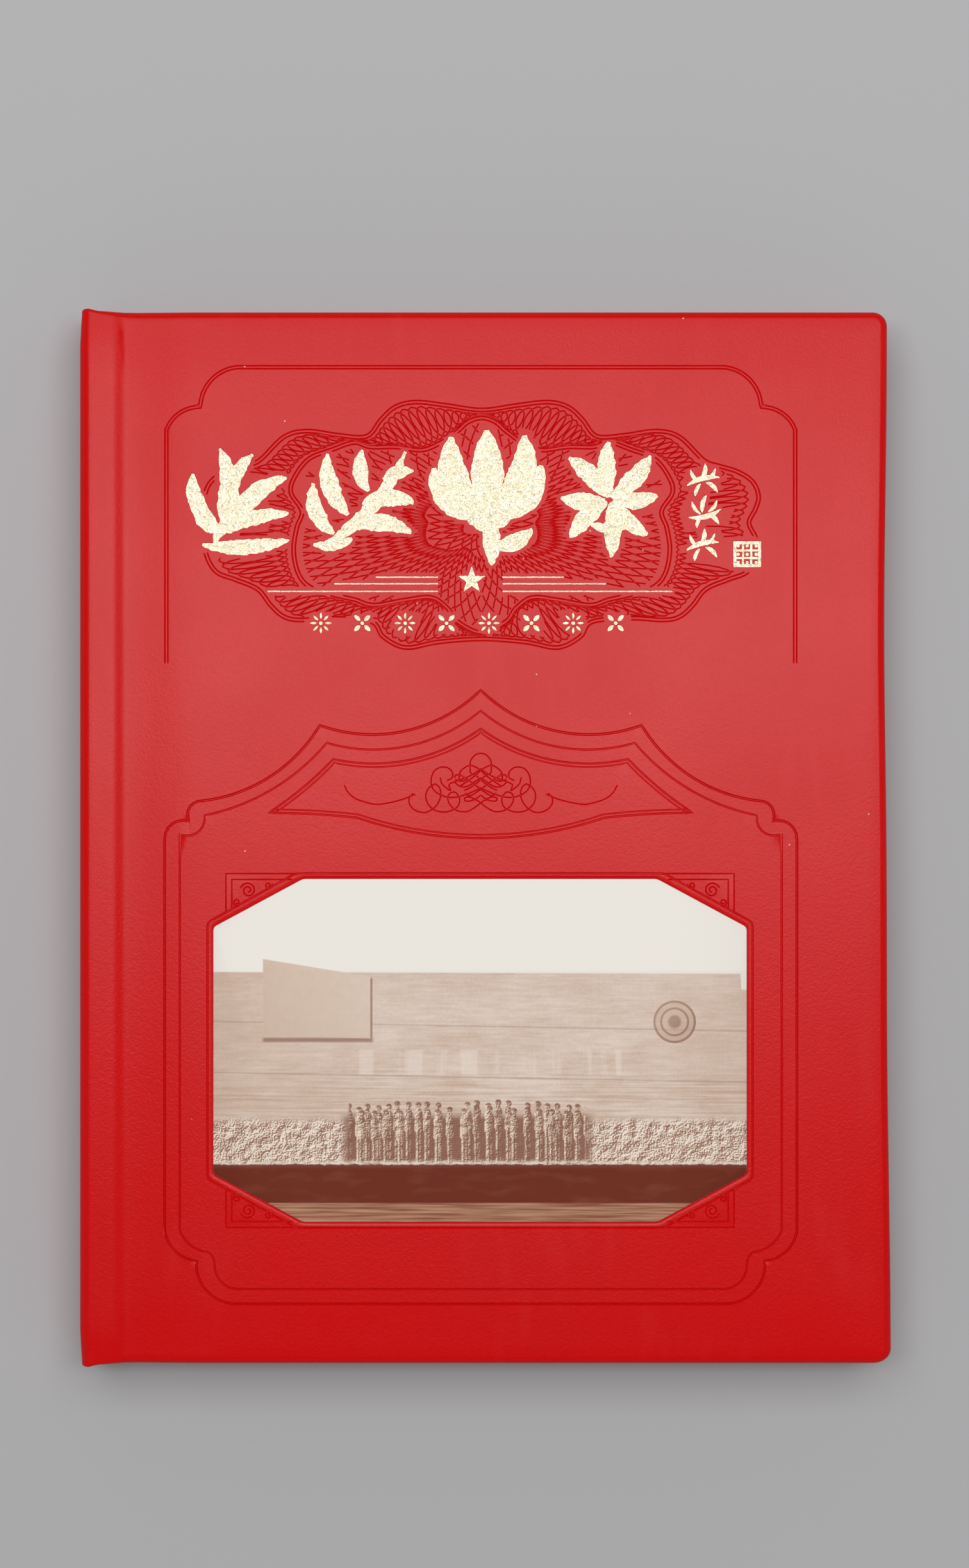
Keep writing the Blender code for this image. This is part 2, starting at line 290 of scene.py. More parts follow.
def inside(points: Rows, polygon: Rows) -> Rows:
    """Which points lie inside a closed polygon (even-odd).

    Args:
        points: the points.
        polygon: the closed outline.

    Returns:
        One truth value for each point.
    """
    result = np.zeros(len(points), bool)
    x, y = points[:, 0], points[:, 1]
    for (x0, y0), (x1, y1) in zip(polygon, np.roll(polygon, -1, 0)):
        if y0 == y1:
            continue
        crosses = (y0 > y) != (y1 > y)
        result ^= crosses & (x < (x1 - x0) * (y - y0) / (y1 - y0) + x0)
    return result


def distance_to(points: Rows, polygon: Rows) -> Rows:
    """Each point's distance to a closed polygon's outline.

    Args:
        points: the points.
        polygon: the closed outline.

    Returns:
        The distances.
    """
    best = np.full(len(points), np.inf)
    for a, b in zip(polygon, np.roll(polygon, -1, 0)):
        ab = b - a
        t = np.clip(((points - a) @ ab) / max(ab @ ab, 1e-12), 0, 1)
        best = np.minimum(best, np.linalg.norm(points - (a + t[:, None] * ab), axis=1))
    return best


def dense(rows: Rows, closed: bool, step: float = 0.12) -> Rows:
    """The polyline with points no further apart than step.

    Args:
        rows: points along the line.
        closed: whether its ends meet.
        step: the most that two points may be apart.

    Returns:
        The points.
    """
    ends = np.roll(rows, -1, 0) if closed else rows[1:]
    starts = rows if closed else rows[:-1]
    out = []
    for a, b in zip(starts, ends):
        count = max(1, int(np.linalg.norm(b - a) / step))
        share = np.arange(count)[:, None] / count
        out.append(a + (b - a) * share)
    out.append(rows[:1] if closed else rows[-1:])
    return np.vstack(out)


# ---- foil ornament


@dataclass
class Stroke:
    """One brush-like stroke of foil: a bent leaf form with a slightly rough edge."""

    start: Pair
    end: Pair
    bow: float
    width: float
    blunt: float = 0.0
    rough: float = 0.0
    seed: int = 0

    def outline(self, grown: float) -> Rows:
        """The stroke's closed outline, grown outwards by some millimetres."""
        length = math.dist(self.start, self.end)
        steps = max(8, int(length / 0.9)) if self.width > 0.8 else max(4, int(length / 1.2))
        rng = random.Random(self.seed)
        share = np.linspace(0, 1, steps + 1)
        middle = as_rows([on_arc(self.start, self.end, self.bow, t) for t in share])
        left = side_vectors(middle, False)
        form = np.sin(np.pi * np.clip(share * 0.96 + 0.02, 0, 1)) ** 0.75
        form = np.maximum(form, self.blunt)
        noise = np.array([rng.uniform(-1, 1) * self.rough for _ in range(2 * steps + 2)])
        half = self.width / 2 * form
        up = np.maximum(half + noise[: steps + 1], 0.05) + grown
        down = np.maximum(half + noise[steps + 1 :], 0.05) + grown
        ahead = np.stack([left[:, 1], -left[:, 0]], 1)
        middle[0] -= ahead[0] * grown
        middle[-1] += ahead[-1] * grown
        return np.vstack([middle + left * up[:, None], (middle - left * down[:, None])[::-1]])


@dataclass
class FoilShape:
    """A closed foil shape and the slightly larger hollow that it's pressed into."""

    group: str
    foil: Rows
    hollow: Rows


@dataclass
class FoilWork:
    """Every gold shape on the front cover, in the album's x and y."""

    wall: float = 0.13
    depth: float = 0.20
    shapes: list[FoilShape] = field(default_factory=list)

    # (left, right, tail, head) of each large spray, then its leaves in shares of that box:
    # (x0, y0, x1, y1, bow, width)
    SPRAYS = (
        ((-84.3, -56.2, 83.9, 113.1), (
            (0.3, 0.16, 0.28, 0.99, -0.22, 4.6), (0.33, 0.2, 0.62, 0.93, 0.26, 4.4),
            (0.3, 0.18, 0, 0.74, 0.3, 4.2), (0.3, 0.16, 0.02, 0.4, 0.26, 3.2),
            (0.36, 0.18, 0.97, 0.7, 0.22, 4.8), (0.36, 0.15, 0.99, 0.34, 0.2, 3.6),
            (0.1, 0.03, 1, 0.08, -0.1, 3.8), (0.22, 0.05, 0.42, 0.34, 0.1, 3),
        )),
        ((-49.9, -20.2, 83.9, 112.4), (
            (0.1, 0.02, 0.92, 0.98, -0.18, 3.4), (0.22, 0.14, 0.02, 0.66, 0.28, 4.2),
            (0.36, 0.34, 0.16, 0.96, 0.24, 4.6), (0.56, 0.58, 0.5, 1, 0.26, 3.8),
            (0.3, 0.2, 0.98, 0.16, 0.24, 4.4), (0.5, 0.44, 1, 0.46, 0.24, 4.4),
            (0.7, 0.7, 1, 0.78, 0.2, 3.2), (0.02, 0.04, 0.4, 0.1, -0.2, 3),
        )),
        ((-14.5, 16.7, 78.9, 118.1), (
            (0.5, 0.34, 0.5, 1, 0, 8.2), (0.44, 0.34, 0.17, 0.95, 0.26, 7.4),
            (0.56, 0.34, 0.84, 0.96, -0.26, 7.4), (0.42, 0.36, 0, 0.72, 0.3, 6.4),
            (0.58, 0.36, 1, 0.74, -0.3, 6.4), (0.3, 0.37, 0.72, 0.37, -0.28, 5),
            (0.5, 0.4, 0.54, 0, 0.08, 4.4), (0.54, 0.14, 0.92, 0.27, -0.24, 4.2),
        )),
        ((22.4, 50.4, 81.2, 114.7), (
            (0.5, 0.52, 0.5, 1, 0.1, 4.8), (0.52, 0.52, 0.93, 0.88, -0.14, 4.8),
            (0.54, 0.5, 1, 0.54, -0.14, 4.4), (0.52, 0.48, 0.9, 0.2, -0.14, 4.4),
            (0.5, 0.46, 0.52, 0, 0.1, 4.2), (0.48, 0.48, 0.1, 0.17, -0.14, 4.6),
            (0.46, 0.5, 0, 0.52, 0.14, 4.4), (0.48, 0.52, 0.08, 0.86, -0.14, 4.8),
            (0.3, 0.3, 0.72, 0.3, -0.3, 2.6),
        )),
    )
    SIDE_SPRIGS = ((63.6, 103.4), (64.0, 94.2), (63.4, 84.6))
    RULES = (
        (75.5, -31.2, -13.2, 5.5, 23.3), (73.6, -43.3, -13.2, 5.5, 35.6),
        (71.4, -62.6, -13.2, 5.5, 54.7),
    )
    SMALL_CENTRES = (-47.1, -35.1, -22.7, -10.7, 1.6, 13.9, 26.0, 38.3)

    def add_stroke(self, group: str, stroke: Stroke) -> None:
        """Adds a stroke's foil and hollow."""
        self.shapes.append(FoilShape(group, stroke.outline(0), stroke.outline(self.wall)))

    def add_polygon(self, group: str, rows: Rows) -> None:
        """Adds a convex or star-like polygon, grown about its own edges for the hollow."""
        area = np.sum(rows[:, 0] * np.roll(rows[:, 1], -1) - rows[:, 1] * np.roll(rows[:, 0], -1))
        outwards = -1 if area > 0 else 1
        before, after = rows - np.roll(rows, 1, 0), np.roll(rows, -1, 0) - rows
        normals = []
        for a, b in zip(before, after):
            na = np.array([-a[1], a[0]]) / max(np.linalg.norm(a), 1e-9)
            nb = np.array([-b[1], b[0]]) / max(np.linalg.norm(b), 1e-9)
            mitre = na + nb
            normals.append(mitre / max(mitre @ mitre, 0.5) * 2)
        grown = rows + np.array(normals) * self.wall * outwards
        self.shapes.append(FoilShape(group, rows, grown))

    def build(self) -> list[FoilShape]:
        """Makes every shape and returns them."""
        self.build_sprays()
        self.build_small_ornaments()
        self.build_side_sprigs()
        self.build_star_and_rules()
        self.build_seal()
        return self.shapes

    def build_sprays(self) -> None:
        """The four large leaf sprays."""
        for number, (box, leaves) in enumerate(self.SPRAYS):
            left, right, tail, head = box
            for index, (x0, y0, x1, y1, bow, width) in enumerate(leaves):
                start = (left + (right - left) * x0, tail + (head - tail) * y0)
                end = (left + (right - left) * x1, tail + (head - tail) * y1)
                seed = 31 * number + index
                stroke = Stroke(start, end, bow, width * 1.16, 0.16, 0.26, seed)
                self.add_stroke("foil_leaf_sprays", stroke)

    def build_small_ornaments(self) -> None:
        """A row of small four-leaved and eight-leaved ornaments."""
        for number, x in enumerate(self.SMALL_CENTRES):
            y = 62.2
            count = 4 if number % 2 else 8
            inner, outer, width = (0.9, 3.2, 1.25) if count == 4 else (1.2, 3.1, 0.7)
            for i in range(count):
                angle = math.tau * i / count + (math.pi / 4 if count == 4 else 0)
                c, s = math.cos(angle), math.sin(angle)
                start, end = (x + inner * c, y + inner * s), (x + outer * c, y + outer * s)
                self.add_stroke("foil_small_row", Stroke(start, end, 0, width, 0.2))
            self.add_polygon("foil_small_row", ring_points((x, y), 0.55, 8))

    def build_side_sprigs(self) -> None:
        """Three small sprigs one over another."""
        for number, (x, y) in enumerate(self.SIDE_SPRIGS):
            lean = (-1) ** number
            rows = (
                (-4.6, -1.4, 4.8, 1.0, 0.20 * lean, 1.5), (-0.6, 0.0, 0.6, 5.0, -0.20 * lean, 1.4),
                (-1.0, -0.4, -3.6, 3.2, 0.24, 1.1), (1.0, 0.2, 3.6, 3.6, -0.24, 1.1),
                (-0.6, -0.8, -2.2, -4.4, -0.22, 1.2), (0.8, -0.4, 4.2, -3.4, 0.24, 1.3),
            )
            for index, (x0, y0, x1, y1, bow, width) in enumerate(rows):
                stroke = Stroke((x + x0, y + y0), (x + x1, y + y1), bow, width, 0.15, 0.06, index)
                self.add_stroke("foil_side_sprigs", stroke)

    def build_star_and_rules(self) -> None:
        """The star and the three thin rules on each side of it."""
        centre, radius = (-3.4, 74.6), 4.1
        rows = []
        for i in range(10):
            angle = math.pi / 2 + math.pi * i / 5
            reach = radius if i % 2 == 0 else radius * 0.40
            rows.append((centre[0] + reach * math.cos(angle), centre[1] + reach * math.sin(angle)))
        self.add_polygon("foil_star_and_rules", as_rows(rows))
        for y, x0, x1, x2, x3 in self.RULES:
            for a, b in ((x0, x1), (x2, x3)):
                for_rule = [(a, y - 0.18), (b, y - 0.18), (b, y + 0.18), (a, y + 0.18)]
                self.add_polygon("foil_star_and_rules", as_rows(for_rule))

    def build_seal(self) -> None:
        """A small square of lattice work."""
        left, right, tail, head = 72.5, 80.3, 78.5, 85.8
        bars = 4
        for i in range(bars):
            t = i / (bars - 1)
            x = left + 0.35 + (right - left - 0.7) * t
            y = tail + 0.35 + (head - tail - 0.7) * t
            width = 0.9 if i in (0, bars - 1) else 0.62
            self.add_stroke("foil_seal", Stroke((x, tail), (x, head), 0, width, 1.0, 0.05, i))
            self.add_stroke("foil_seal", Stroke((left, y), (right, y), 0, width, 1.0, 0.05, 9 + i))
        for i in range(bars - 1):
            for j in range(bars - 1):
                x = left + (right - left) * (i + 0.5) / (bars - 1)
                y = tail + (head - tail) * (j + 0.5) / (bars - 1)
                self.add_polygon("foil_seal", ring_points((x, y), 0.52, 6))


def ring_points(centre: Pair, radius: float, count: int) -> Rows:
    """Points on a circle."""
    angles = np.arange(count) * math.tau / count
    return np.stack([centre[0] + radius * np.cos(angles), centre[1] + radius * np.sin(angles)], 1)


# ---- pressed ornament


@dataclass
class PressedLine:
    """A line pressed into the leatherette with one of the tools."""

    rows: Rows
    tool: Tool
    closed: bool = False


@dataclass
class PressedOrnament:
    """Every pressed line on the front cover, in the album's x and y."""

    axis: float = -0.8
    window_centre: Pair = (-1.0, -61.6)
    window_half: Pair = (77.35, 49.75)
    window_cut: Pair = (26.0, 14.0)
    lines: list[PressedLine] = field(default_factory=list)
    keep_clear: list[Rows] = field(default_factory=list)
    centre: Rows = field(default_factory=lambda: np.array([-0.5, 90.0]))

    OUTER_FRAME = [
        (-0.8, 42.8, 0.29), (-47.4, 32.6, 0.24), (-82.6, 10.6, -0.5), (-85.3, 4.7, -0.52),
        (-92.4, -0.2, 0), (-92.4, -114.0, -0.34), (-83.0, -122.6, 0), (-83.2, -124.0, -0.4),
        (-71.5, -135.0, 0), (-0.8, -135.0, 0),
    ]
    INNER_FRAME = [
        (-0.8, 36.8, 0.25), (-45.4, 27.5, 0.17), (-80.8, 6.5, 0.62), (-88.0, 1.2, 0),
        (-88.0, -113.6, -0.3), (-79.6, -120.0, 0.25), (-77.9, -123.6, -0.4), (-71.6, -130.7, 0),
        (-0.8, -130.7, 0),
    ]
    TYMPANUM = [(-0.8, 31.6, 0.215), (-43.5, 22.8, 0.06), (-62.3, 7.2, 0.03), (-36.5, 5.8, -0.165)]
    UPPER_FRAME = [
        (-91.9, 50.7, 0), (-91.9, 118.2, 0.32), (-82.1, 124.8, 0), (-82.0, 125.6, 0.36),
        (-71.4, 136.3, 0), (-0.8, 136.3, 0),
    ]
    # x and y in turn
    CLOUD = [
        -0.5, 123.9, 9.5, 125.2, 18.5, 126.2, 24.5, 124.8, 28.7, 121.1, 32.8, 116.3, 41.0, 116.6,
        50.0, 117.8, 56.8, 116.1, 63.9, 109.3, 68.6, 107.6, 73.7, 106.0, 77.9, 103.2, 79.7, 99.0,
        78.8, 95.3, 76.9, 91.2, 78.8, 87.0, 79.4, 82.4, 76.5, 77.1, 70.9, 74.8, 64.4, 72.0,
        60.6, 67.3, 56.9, 64.1, 52.3, 63.1, 42.9, 63.6, 31.5, 62.6, 28.0, 58.2, 21.5, 55.1,
        12.2, 56.7, -0.5, 57.6,
    ]
    INNER_CLOUD = [
        -0.5, 121.6, 3.5, 120.4, 6.6, 117.7, 11.3, 114.5, 16.9, 112.3, 24.3, 113.2, 31.8, 113.2,
        36.5, 114.5, 42.9, 112.4, 49.5, 109.8, 53.6, 104.7, 54.8, 100.0, 51.6, 94.6, 53.1, 89.8,
        54.0, 83.2, 52.7, 76.7, 49.5, 72.8, 43.0, 70.5, 36.4, 69.0, 30.8, 67.4, 21.5, 68.9,
        14.1, 69.6, 9.4, 66.5, 6.6, 62.7, -0.5, 59.4,
    ]
    # The knot's cords, x and y in turn, in tenths of a millimetre from its axis and from y = 0
    KNOT = [
        (-97, 166, -83, 174, -82, 189, -94, 202, -113, 205, -132, 196, -143, 174, -142, 150,
         -129, 132, -105, 120, -79, 117, -47, 124, -15, 137, 0, 145),
        (-117, 174, -113, 158, -100, 145, -87, 137, -92, 153, -79, 161, -57, 169, -36, 177,
         -15, 189, 0, 200),
        (-132, 157, -150, 145, -159, 124, -154, 100, -139, 84, -121, 76, -94, 76, -68, 89,
         -61, 110, -68, 127, -79, 133, -92, 126, -95, 110, -86, 92, -68, 79, -41, 76, -20, 86,
         0, 101),
        (-132, 157, -119, 145, -116, 121, -124, 100, -140, 83, -163, 73, -190, 80, -206, 97,
         -207, 116, -196, 129),
        (-190, 126, -222, 113, -259, 103, -302, 97, -339, 105, -365, 115, -385, 133, -395, 152),
        (0, 101, -15, 110, -36, 106, -47, 109, -44, 117, -31, 118, -15, 113, 0, 124),
        (-74, 169, -57, 164, -42, 169, -57, 180, -71, 182, -76, 175),
        (-74, 159, -57, 148, -36, 150, -15, 164, 0, 173),
        (-63, 170, -60, 190, -47, 203, -31, 210, -15, 205, 0, 195, 15, 181, 31, 169, 47, 158,
         60, 150),
        (-60, 184, -47, 175, -31, 164, -15, 152, 0, 141, 15, 130, 31, 122, 44, 127),
        (-31, 206, -29, 188, -15, 181, 0, 168, 15, 156, 31, 145, 47, 138),
        (-31, 206, -29, 224, -15, 241, 0, 245),
    ]

    def window(self, grown: float, rounding: float = 0.0) -> Rows:
        """The window's outline, grown outwards and with rounded corners.

        Args:
            grown: how far it is grown.
            rounding: how far each corner is rounded, or 0.

        Returns:
            The outline.
        """
        (cx, cy), (a, b), (ca, cb) = self.window_centre, self.window_half, self.window_cut
        a, b = a + grown, b + grown
        slant = grown * 0.35
        c, d = a - ca - slant + grown * 0.55, b - cb - slant + grown * 0.2
        rows = [(-c, -b), (c, -b), (a, -d), (a, d), (c, b), (-c, b), (-a, d), (-a, -d)]
        if not rounding:
            return as_rows([(cx + x, cy + y) for x, y in rows])
        out = []
        for i, corner in enumerate(rows):
            p, q, r = np.array(rows[i - 1]), np.array(corner), np.array(rows[(i + 1) % 8])
            before = q + (p - q) / np.linalg.norm(p - q) * rounding
            after = q + (r - q) / np.linalg.norm(r - q) * rounding
            for t in (0, 1 / 3, 2 / 3, 1):
                point = (1 - t) ** 2 * before + 2 * t * (1 - t) * q + t * t * after
                out.append((cx + point[0], cy + point[1]))
            away = np.linalg.norm(r - q)
            count = int(away / 9)
            far = r + (q - r) / away * rounding
            for k in range(1, count):
                point = after + (far - after) * k / count
                out.append((cx + point[0], cy + point[1]))
        return as_rows(out)

    def add(self, rows: Rows, tool: Tool, closed: bool = False) -> None:
        """Adds one line."""
        self.lines.append(PressedLine(rows, tool, closed))

    def add_pair(self, rows: Rows, gap: float, tool: Tool, closed: bool = False) -> None:
        """Adds two lines side by side.

        Args:
            rows: points along the line.
            gap: how far apart they are.
            tool: the pressing tool.
            closed: whether its ends meet.
        """
        left = side_vectors(rows, closed)
        self.add(rows + left * gap / 2, tool, closed)
        self.add(rows - left * gap / 2, tool, closed)

    def build(self) -> list[PressedLine]:
        """Draws and returns every line."""
        for half, tool in ((self.OUTER_FRAME, Tool.BOLD_LINE), (self.INNER_FRAME, Tool.LINE)):
            rows = bowed(half)
            whole = np.vstack([rows, mirrored(rows, self.axis)[1:-1]])
            self.add(whole, tool, True)
        rows = bowed(self.UPPER_FRAME)
        self.add_pair(np.vstack([rows, mirrored(rows, self.axis)[1:]]), 0.85, Tool.FINE_LINE)
        self.build_tympanum()
        self.build_knot()
        self.build_window_lines()
        self.build_rosette()
        return self.lines

    def build_tympanum(self) -> None:
        """The double line round the panel over the window."""
        rows = bowed(self.TYMPANUM)
        far = (2 * self.axis - self.TYMPANUM[-1][0], self.TYMPANUM[-1][1])
        sag = bowed([self.TYMPANUM[-1], (far[0], far[1], 0)])
        half = np.vstack([rows[:-1], sag[:-1], mirrored(rows, self.axis)[:-1]])
        self.add(half, Tool.LINE, True)
        left = side_vectors(half, True)
        self.add(half + left * 1.0, Tool.FINE_LINE, True)

    def build_knot(self) -> None:
        """The knot of cords in the middle of the panel, with its two tails."""
        for cord in self.KNOT:
            curve = smooth_curve(as_rows(cord) / 10 + [self.axis, 0], 4)
            self.add(curve, Tool.HAIRLINE)
            self.add(mirrored(curve, self.axis), Tool.HAIRLINE)

    def build_window_lines(self) -> None:
        """The line that follows the window, and the scroll-filled corners."""
        self.add(self.window(1.6, 1.2), Tool.LINE, True)
        cx, cy = self.window_centre
        for sx in (-1, 1):
            for sy in (-1, 1):
                self.build_corner(cx, cy, sx, sy)

    def build_corner(self, cx: float, cy: float, sx: int, sy: int) -> None:
        """One corner of the window: two right-angled lines and a scroll.

        Args:
            cx: the window's middle in x.
            cy: the window's middle in y.
            sx: 1 on the right, -1 on the left.
            sy: 1 at the head, -1 at the tail.
        """
        tool = Tool.FINE_LINE
        for out, reach_x, reach_y in ((0.0, 23.2, 11.4), (1.7, 17.4, 8.6)):
            x, y = 73.6 - out, 51.25 - out
            path = [(x - reach_x, y), (x - reach_x / 2, y), (x, y), (x, y - reach_y)]
            self.add(as_rows([(cx + sx * a, cy + sy * b) for a, b in path]), tool)
        for centre, size, turns, start in (
            ((67.2, 46.4), 2.3, 1.7, 0.4), ((61.3, 47.9), 1.15, 1.3, 2.9),
            ((70.4, 42.9), 1.15, 1.3, 4.4),
        ):
            spiral = []
            for i in range(int(turns * 12) + 1):
                angle = start + math.tau * i / 12
                reach = size * (1 - 0.8 * i / (turns * 12))
                x = centre[0] + reach * math.cos(angle)
                y = centre[1] + reach * math.sin(angle)
                spiral.append((cx + sx * x, cy + sy * y))
            self.add(as_rows(spiral), tool)

    def build_rosette(self) -> None:
        """The cloud-shaped rosette: two outlines filled with looping lines."""
        centre = self.centre
        outlines = []
        for half in (as_rows(self.CLOUD), as_rows(self.INNER_CLOUD)):
            whole = np.vstack([half, mirrored(half, centre[0])[1:-1]])
            outline = smooth_curve(whole, 6, True)
            self.add_cleared(outline, 0.95)
            outlines.append(by_angle(outline, centre, 1.75, 1440))
        outer, inner = outlines
        core = centre + (inner - centre) * 0.30
        heart = centre + (inner - centre) * 0.10
        self.add_loops(inner, outer, 150, (1.035, 0.965), 1.15)
        self.add_lattice(core, inner, 84, 0.95, 0.26)
        self.add_lattice(heart, core, 26, 0.96, 0.30)

    def add_cleared(self, rows: Rows, gap: float) -> None:
        """A closed double line, broken where it meets what it has to keep clear of."""
        left = side_vectors(rows, True)
        for side in (gap / 2, -gap / 2):
            line = rows + left * side
            self.add_broken(np.vstack([line, line[:1]]), Tool.FINE_LINE)

    def add_loops(self, inner: Rows, outer: Rows, loops: int, reach: Pair, swing: float) -> None:
        """A line that loops between two outlines.

        Args:
            inner: the inner outline.
            outer: the outer outline, with as many points.
            loops: how many loops it takes to go round.
            reach: the scales of the inner and outer outlines that the loops touch.
            swing: how far each loop swings sideways, in loops.
        """
        per_loop = 16
        phase = np.arange(loops * per_loop) * math.tau / per_loop
        turn = phase / loops + swing * math.tau / loops * np.cos(phase)
        place = (turn / math.tau * len(inner)) % len(inner)
        low = place.astype(int) % len(inner)
        high = (low + 1) % len(inner)
        part = (place - np.floor(place))[:, None]
        near = inner[low] * (1 - part) + inner[high] * part
        far = outer[low] * (1 - part) + outer[high] * part
        near = self.centre + (near - self.centre) * reach[0]
        far = self.centre + (far - self.centre) * reach[1]
        share = (0.5 + 0.5 * np.sin(phase))[:, None]
        rows = near + (far - near) * share
        self.add_broken(np.vstack([rows, rows[:1]]), Tool.HAIRLINE)

    def add_lattice(self, inner: Rows, outer: Rows, count: int, reach: float, twist: float) -> None:
        """Two families of curved lines that cross between two outlines.

        Args:
            inner: the inner outline.
            outer: the outer outline, with as many points.
            count: how many lines each family has.
            reach: the scale of the outer outline at which the lines end.
            twist: how far a line turns about the centre on its way, in radians.
        """
        points = len(inner)
        share = np.linspace(0.0, 1.0, 36)[:, None]
        for lean in (-1.0, 1.0):
            for i in range(count):
                turn = (i + 0.25 * lean) / count + lean * twist / math.tau * share[:, 0]
                place = ((turn % 1.0) * points).astype(int) % points
                near = inner[place]
                far = self.centre + (outer[place] - self.centre) * reach
                self.add_broken(near + (far - near) * share, Tool.HAIRLINE)

    def add_broken(self, rows: Rows, tool: Tool) -> None:
        """Adds the parts of a line that lie clear of the foil.

        Args:
            rows: points along the line.
            tool: the pressing tool.
        """
        blocked = np.zeros(len(rows), bool)
        for outline in self.keep_clear:
            index = near_box(rows, outline, 1)
            if len(index):
                blocked[index] |= inside(rows[index], outline)
        start = None
        for i in range(len(rows) + 1):
            free = i < len(rows) and not blocked[i]
            if free and start is None:
                start = i
            if not free and start is not None:
                if i - start > 2:
                    self.add(rows[start:i], tool)
                start = None


# ---- the wrapped sheet


def ease(value: float) -> float:
    """A smooth step from 0 to 1."""
    t = min(max(value, 0.0), 1.0)
    return t * t * (3 - 2 * t)


@dataclass
class Wrap:
    """How flat leatherette is wrapped round spine and cover."""

    width: float
    height: float
    thickness: float
    side: Side
    corner: float = 3.2
    groove: Vec = (8.8, 14.2, 36.0)
    groove_depth: float = 1.1
    skin: float = 0.9
    spine_skin: float = 0.7
    cover_depth: float = 6.5
    spine_depth: float = 4.2
    joint_depth: float = 2.15
    rounding: float = 2.3
    spine_rounding: float = 1.0
    spine_cap: float = 1.0
    plan_corner: float = 4.2
    turn_in: float = 15.0
    puff: float = 0.35
    cover_start: float = 11.6
    cover_blend: float = 2.4
    edge_sink: float = 0.55
    spine_span: float = 9.0
    cover_span: float = 11.0

    @property
    def flat_start(self) -> float:
        """u where the sheet lies level on top of the spine's corner."""
        return self.thickness / 2 - self.corner + self.corner * math.pi / 2

    def u_of(self, x: float) -> float:
        """u above this x of the album."""
        return x + self.width / 2 - self.corner + self.flat_start

    def x_of(self, u: float) -> float:
        """The album's x under this u."""
        return u - self.flat_start + self.corner - self.width / 2

    def s_of(self, u: float) -> float:
        """Distance from the spine's face, counted along the top."""
        return self.x_of(u) + self.width / 2

    def over(self, u: float) -> float:
        """0 on spine and joint, 1 on the cover."""
        return ease((self.s_of(u) - self.cover_start) / self.cover_blend)

    def half_height(self, u: float) -> float:
        """Half the sheet's size along v once it is wrapped."""
        s = self.s_of(u)
        cap = 0.7 * (1 - ease((s - 2.0) / 4.0)) + 0.3 * (1 - ease((s - 5.0) / 7.0))
        return self.height / 2 + self.spine_cap * cap

    def rounding_at(self, u: float) -> float:
        """Radius of the wrapped edge."""
        share = ease((self.s_of(u) - 4.0) / 14.0)
        return self.spine_rounding + (self.rounding - self.spine_rounding) * share

    def depth_at(self, u: float) -> float:
        """How far the turned-in leatherette lies under the surface."""
        if self.s_of(u) > 8:
            return self.joint_depth + (self.cover_depth - self.joint_depth) * self.over(u)
        rise = self.thickness / 2 - self.corner - u
        return self.joint_depth + (self.spine_depth - self.joint_depth) * ease(rise / 1.5)

    def skin_at(self, u: float) -> float:
        """The leatherette's thickness."""
        return self.spine_skin + (self.skin - self.spine_skin) * self.over(u)

    def joint_groove(self, s: float) -> float:
        """Height of the joint: a soft fall from the spine's shoulder, then a long slow rise."""
        start, lowest, end = self.groove
        fall = ease((s - start) / (lowest - start))
        return -self.groove_depth * fall * (1 - ease((s - lowest + 1) / (end - lowest)))

    def crown(self, u: float, v: float) -> float:
        """How the padding sinks towards the edges of the cover, and the spine towards its ends.

        Args:
            u: place across the sheet.
            v: place along the sheet.

        Returns:
            The height, 0 or less.
        """
        share = self.over(u)
        span = self.spine_span + self.cover_span * share
        depth = self.edge_sink + (self.puff - self.edge_sink) * share
        away = min(self.width - self.s_of(u), self.height / 2 - abs(v))
        return depth * (ease(away / span) - 1)

    def place(self, u: float, v: float, drop: float) -> Vec:
        """A point of the album, in metres, from sheet coordinates and depth under the surface.

        Args:
            u: place across the sheet.
            v: place along the sheet.
            drop: the depth under the surface.

        Returns:
            The point.
        """
        rise = self.thickness / 2 - self.corner
        if u < rise:
            s, z, ns, nz = 0.0, self.thickness / 2 + u, -1.0, 0.0
        elif u < self.flat_start:
            angle = (u - rise) / self.corner
            ns, nz = -math.cos(angle), math.sin(angle)
            s = self.corner * (1 + ns)
            z = self.thickness - self.corner + self.corner * nz
        else:
            s = self.s_of(u)
            z, ns, nz = self.thickness + self.joint_groove(s), 0.0, 1.0
        s, z = s - ns * drop, z - nz * drop
        if self.side is Side.BACK:
            z = self.thickness - z
        return (s - self.width / 2) * MM, v * MM, z * MM

    def u_stations(self) -> list[float]:
        """Where the wrap bends, so where the sheet needs lines of points."""
        rise = self.thickness / 2 - self.corner
        stations = [rise * t for t in (0, 0.3, 0.6, 0.84, 0.92)]
        stations += [rise + self.corner * math.pi / 2 * i / 8 for i in range(9)]
        start = self.flat_start - self.corner
        stations += [start + s for s in (4.4, 5.6, 6.6, 7.4, 8.2, 9.0, 9.7, 10.4, 11.1, 11.8)]
        stations += [start + s for s in (12.4, 12.9, 13.4, 13.9, 14.5, 15.2, 16.2, 17.4, 19.0)]
        stations += [start + s for s in (21.5, 24.5, 28.0, 32.0, 36.0)]
        return stations


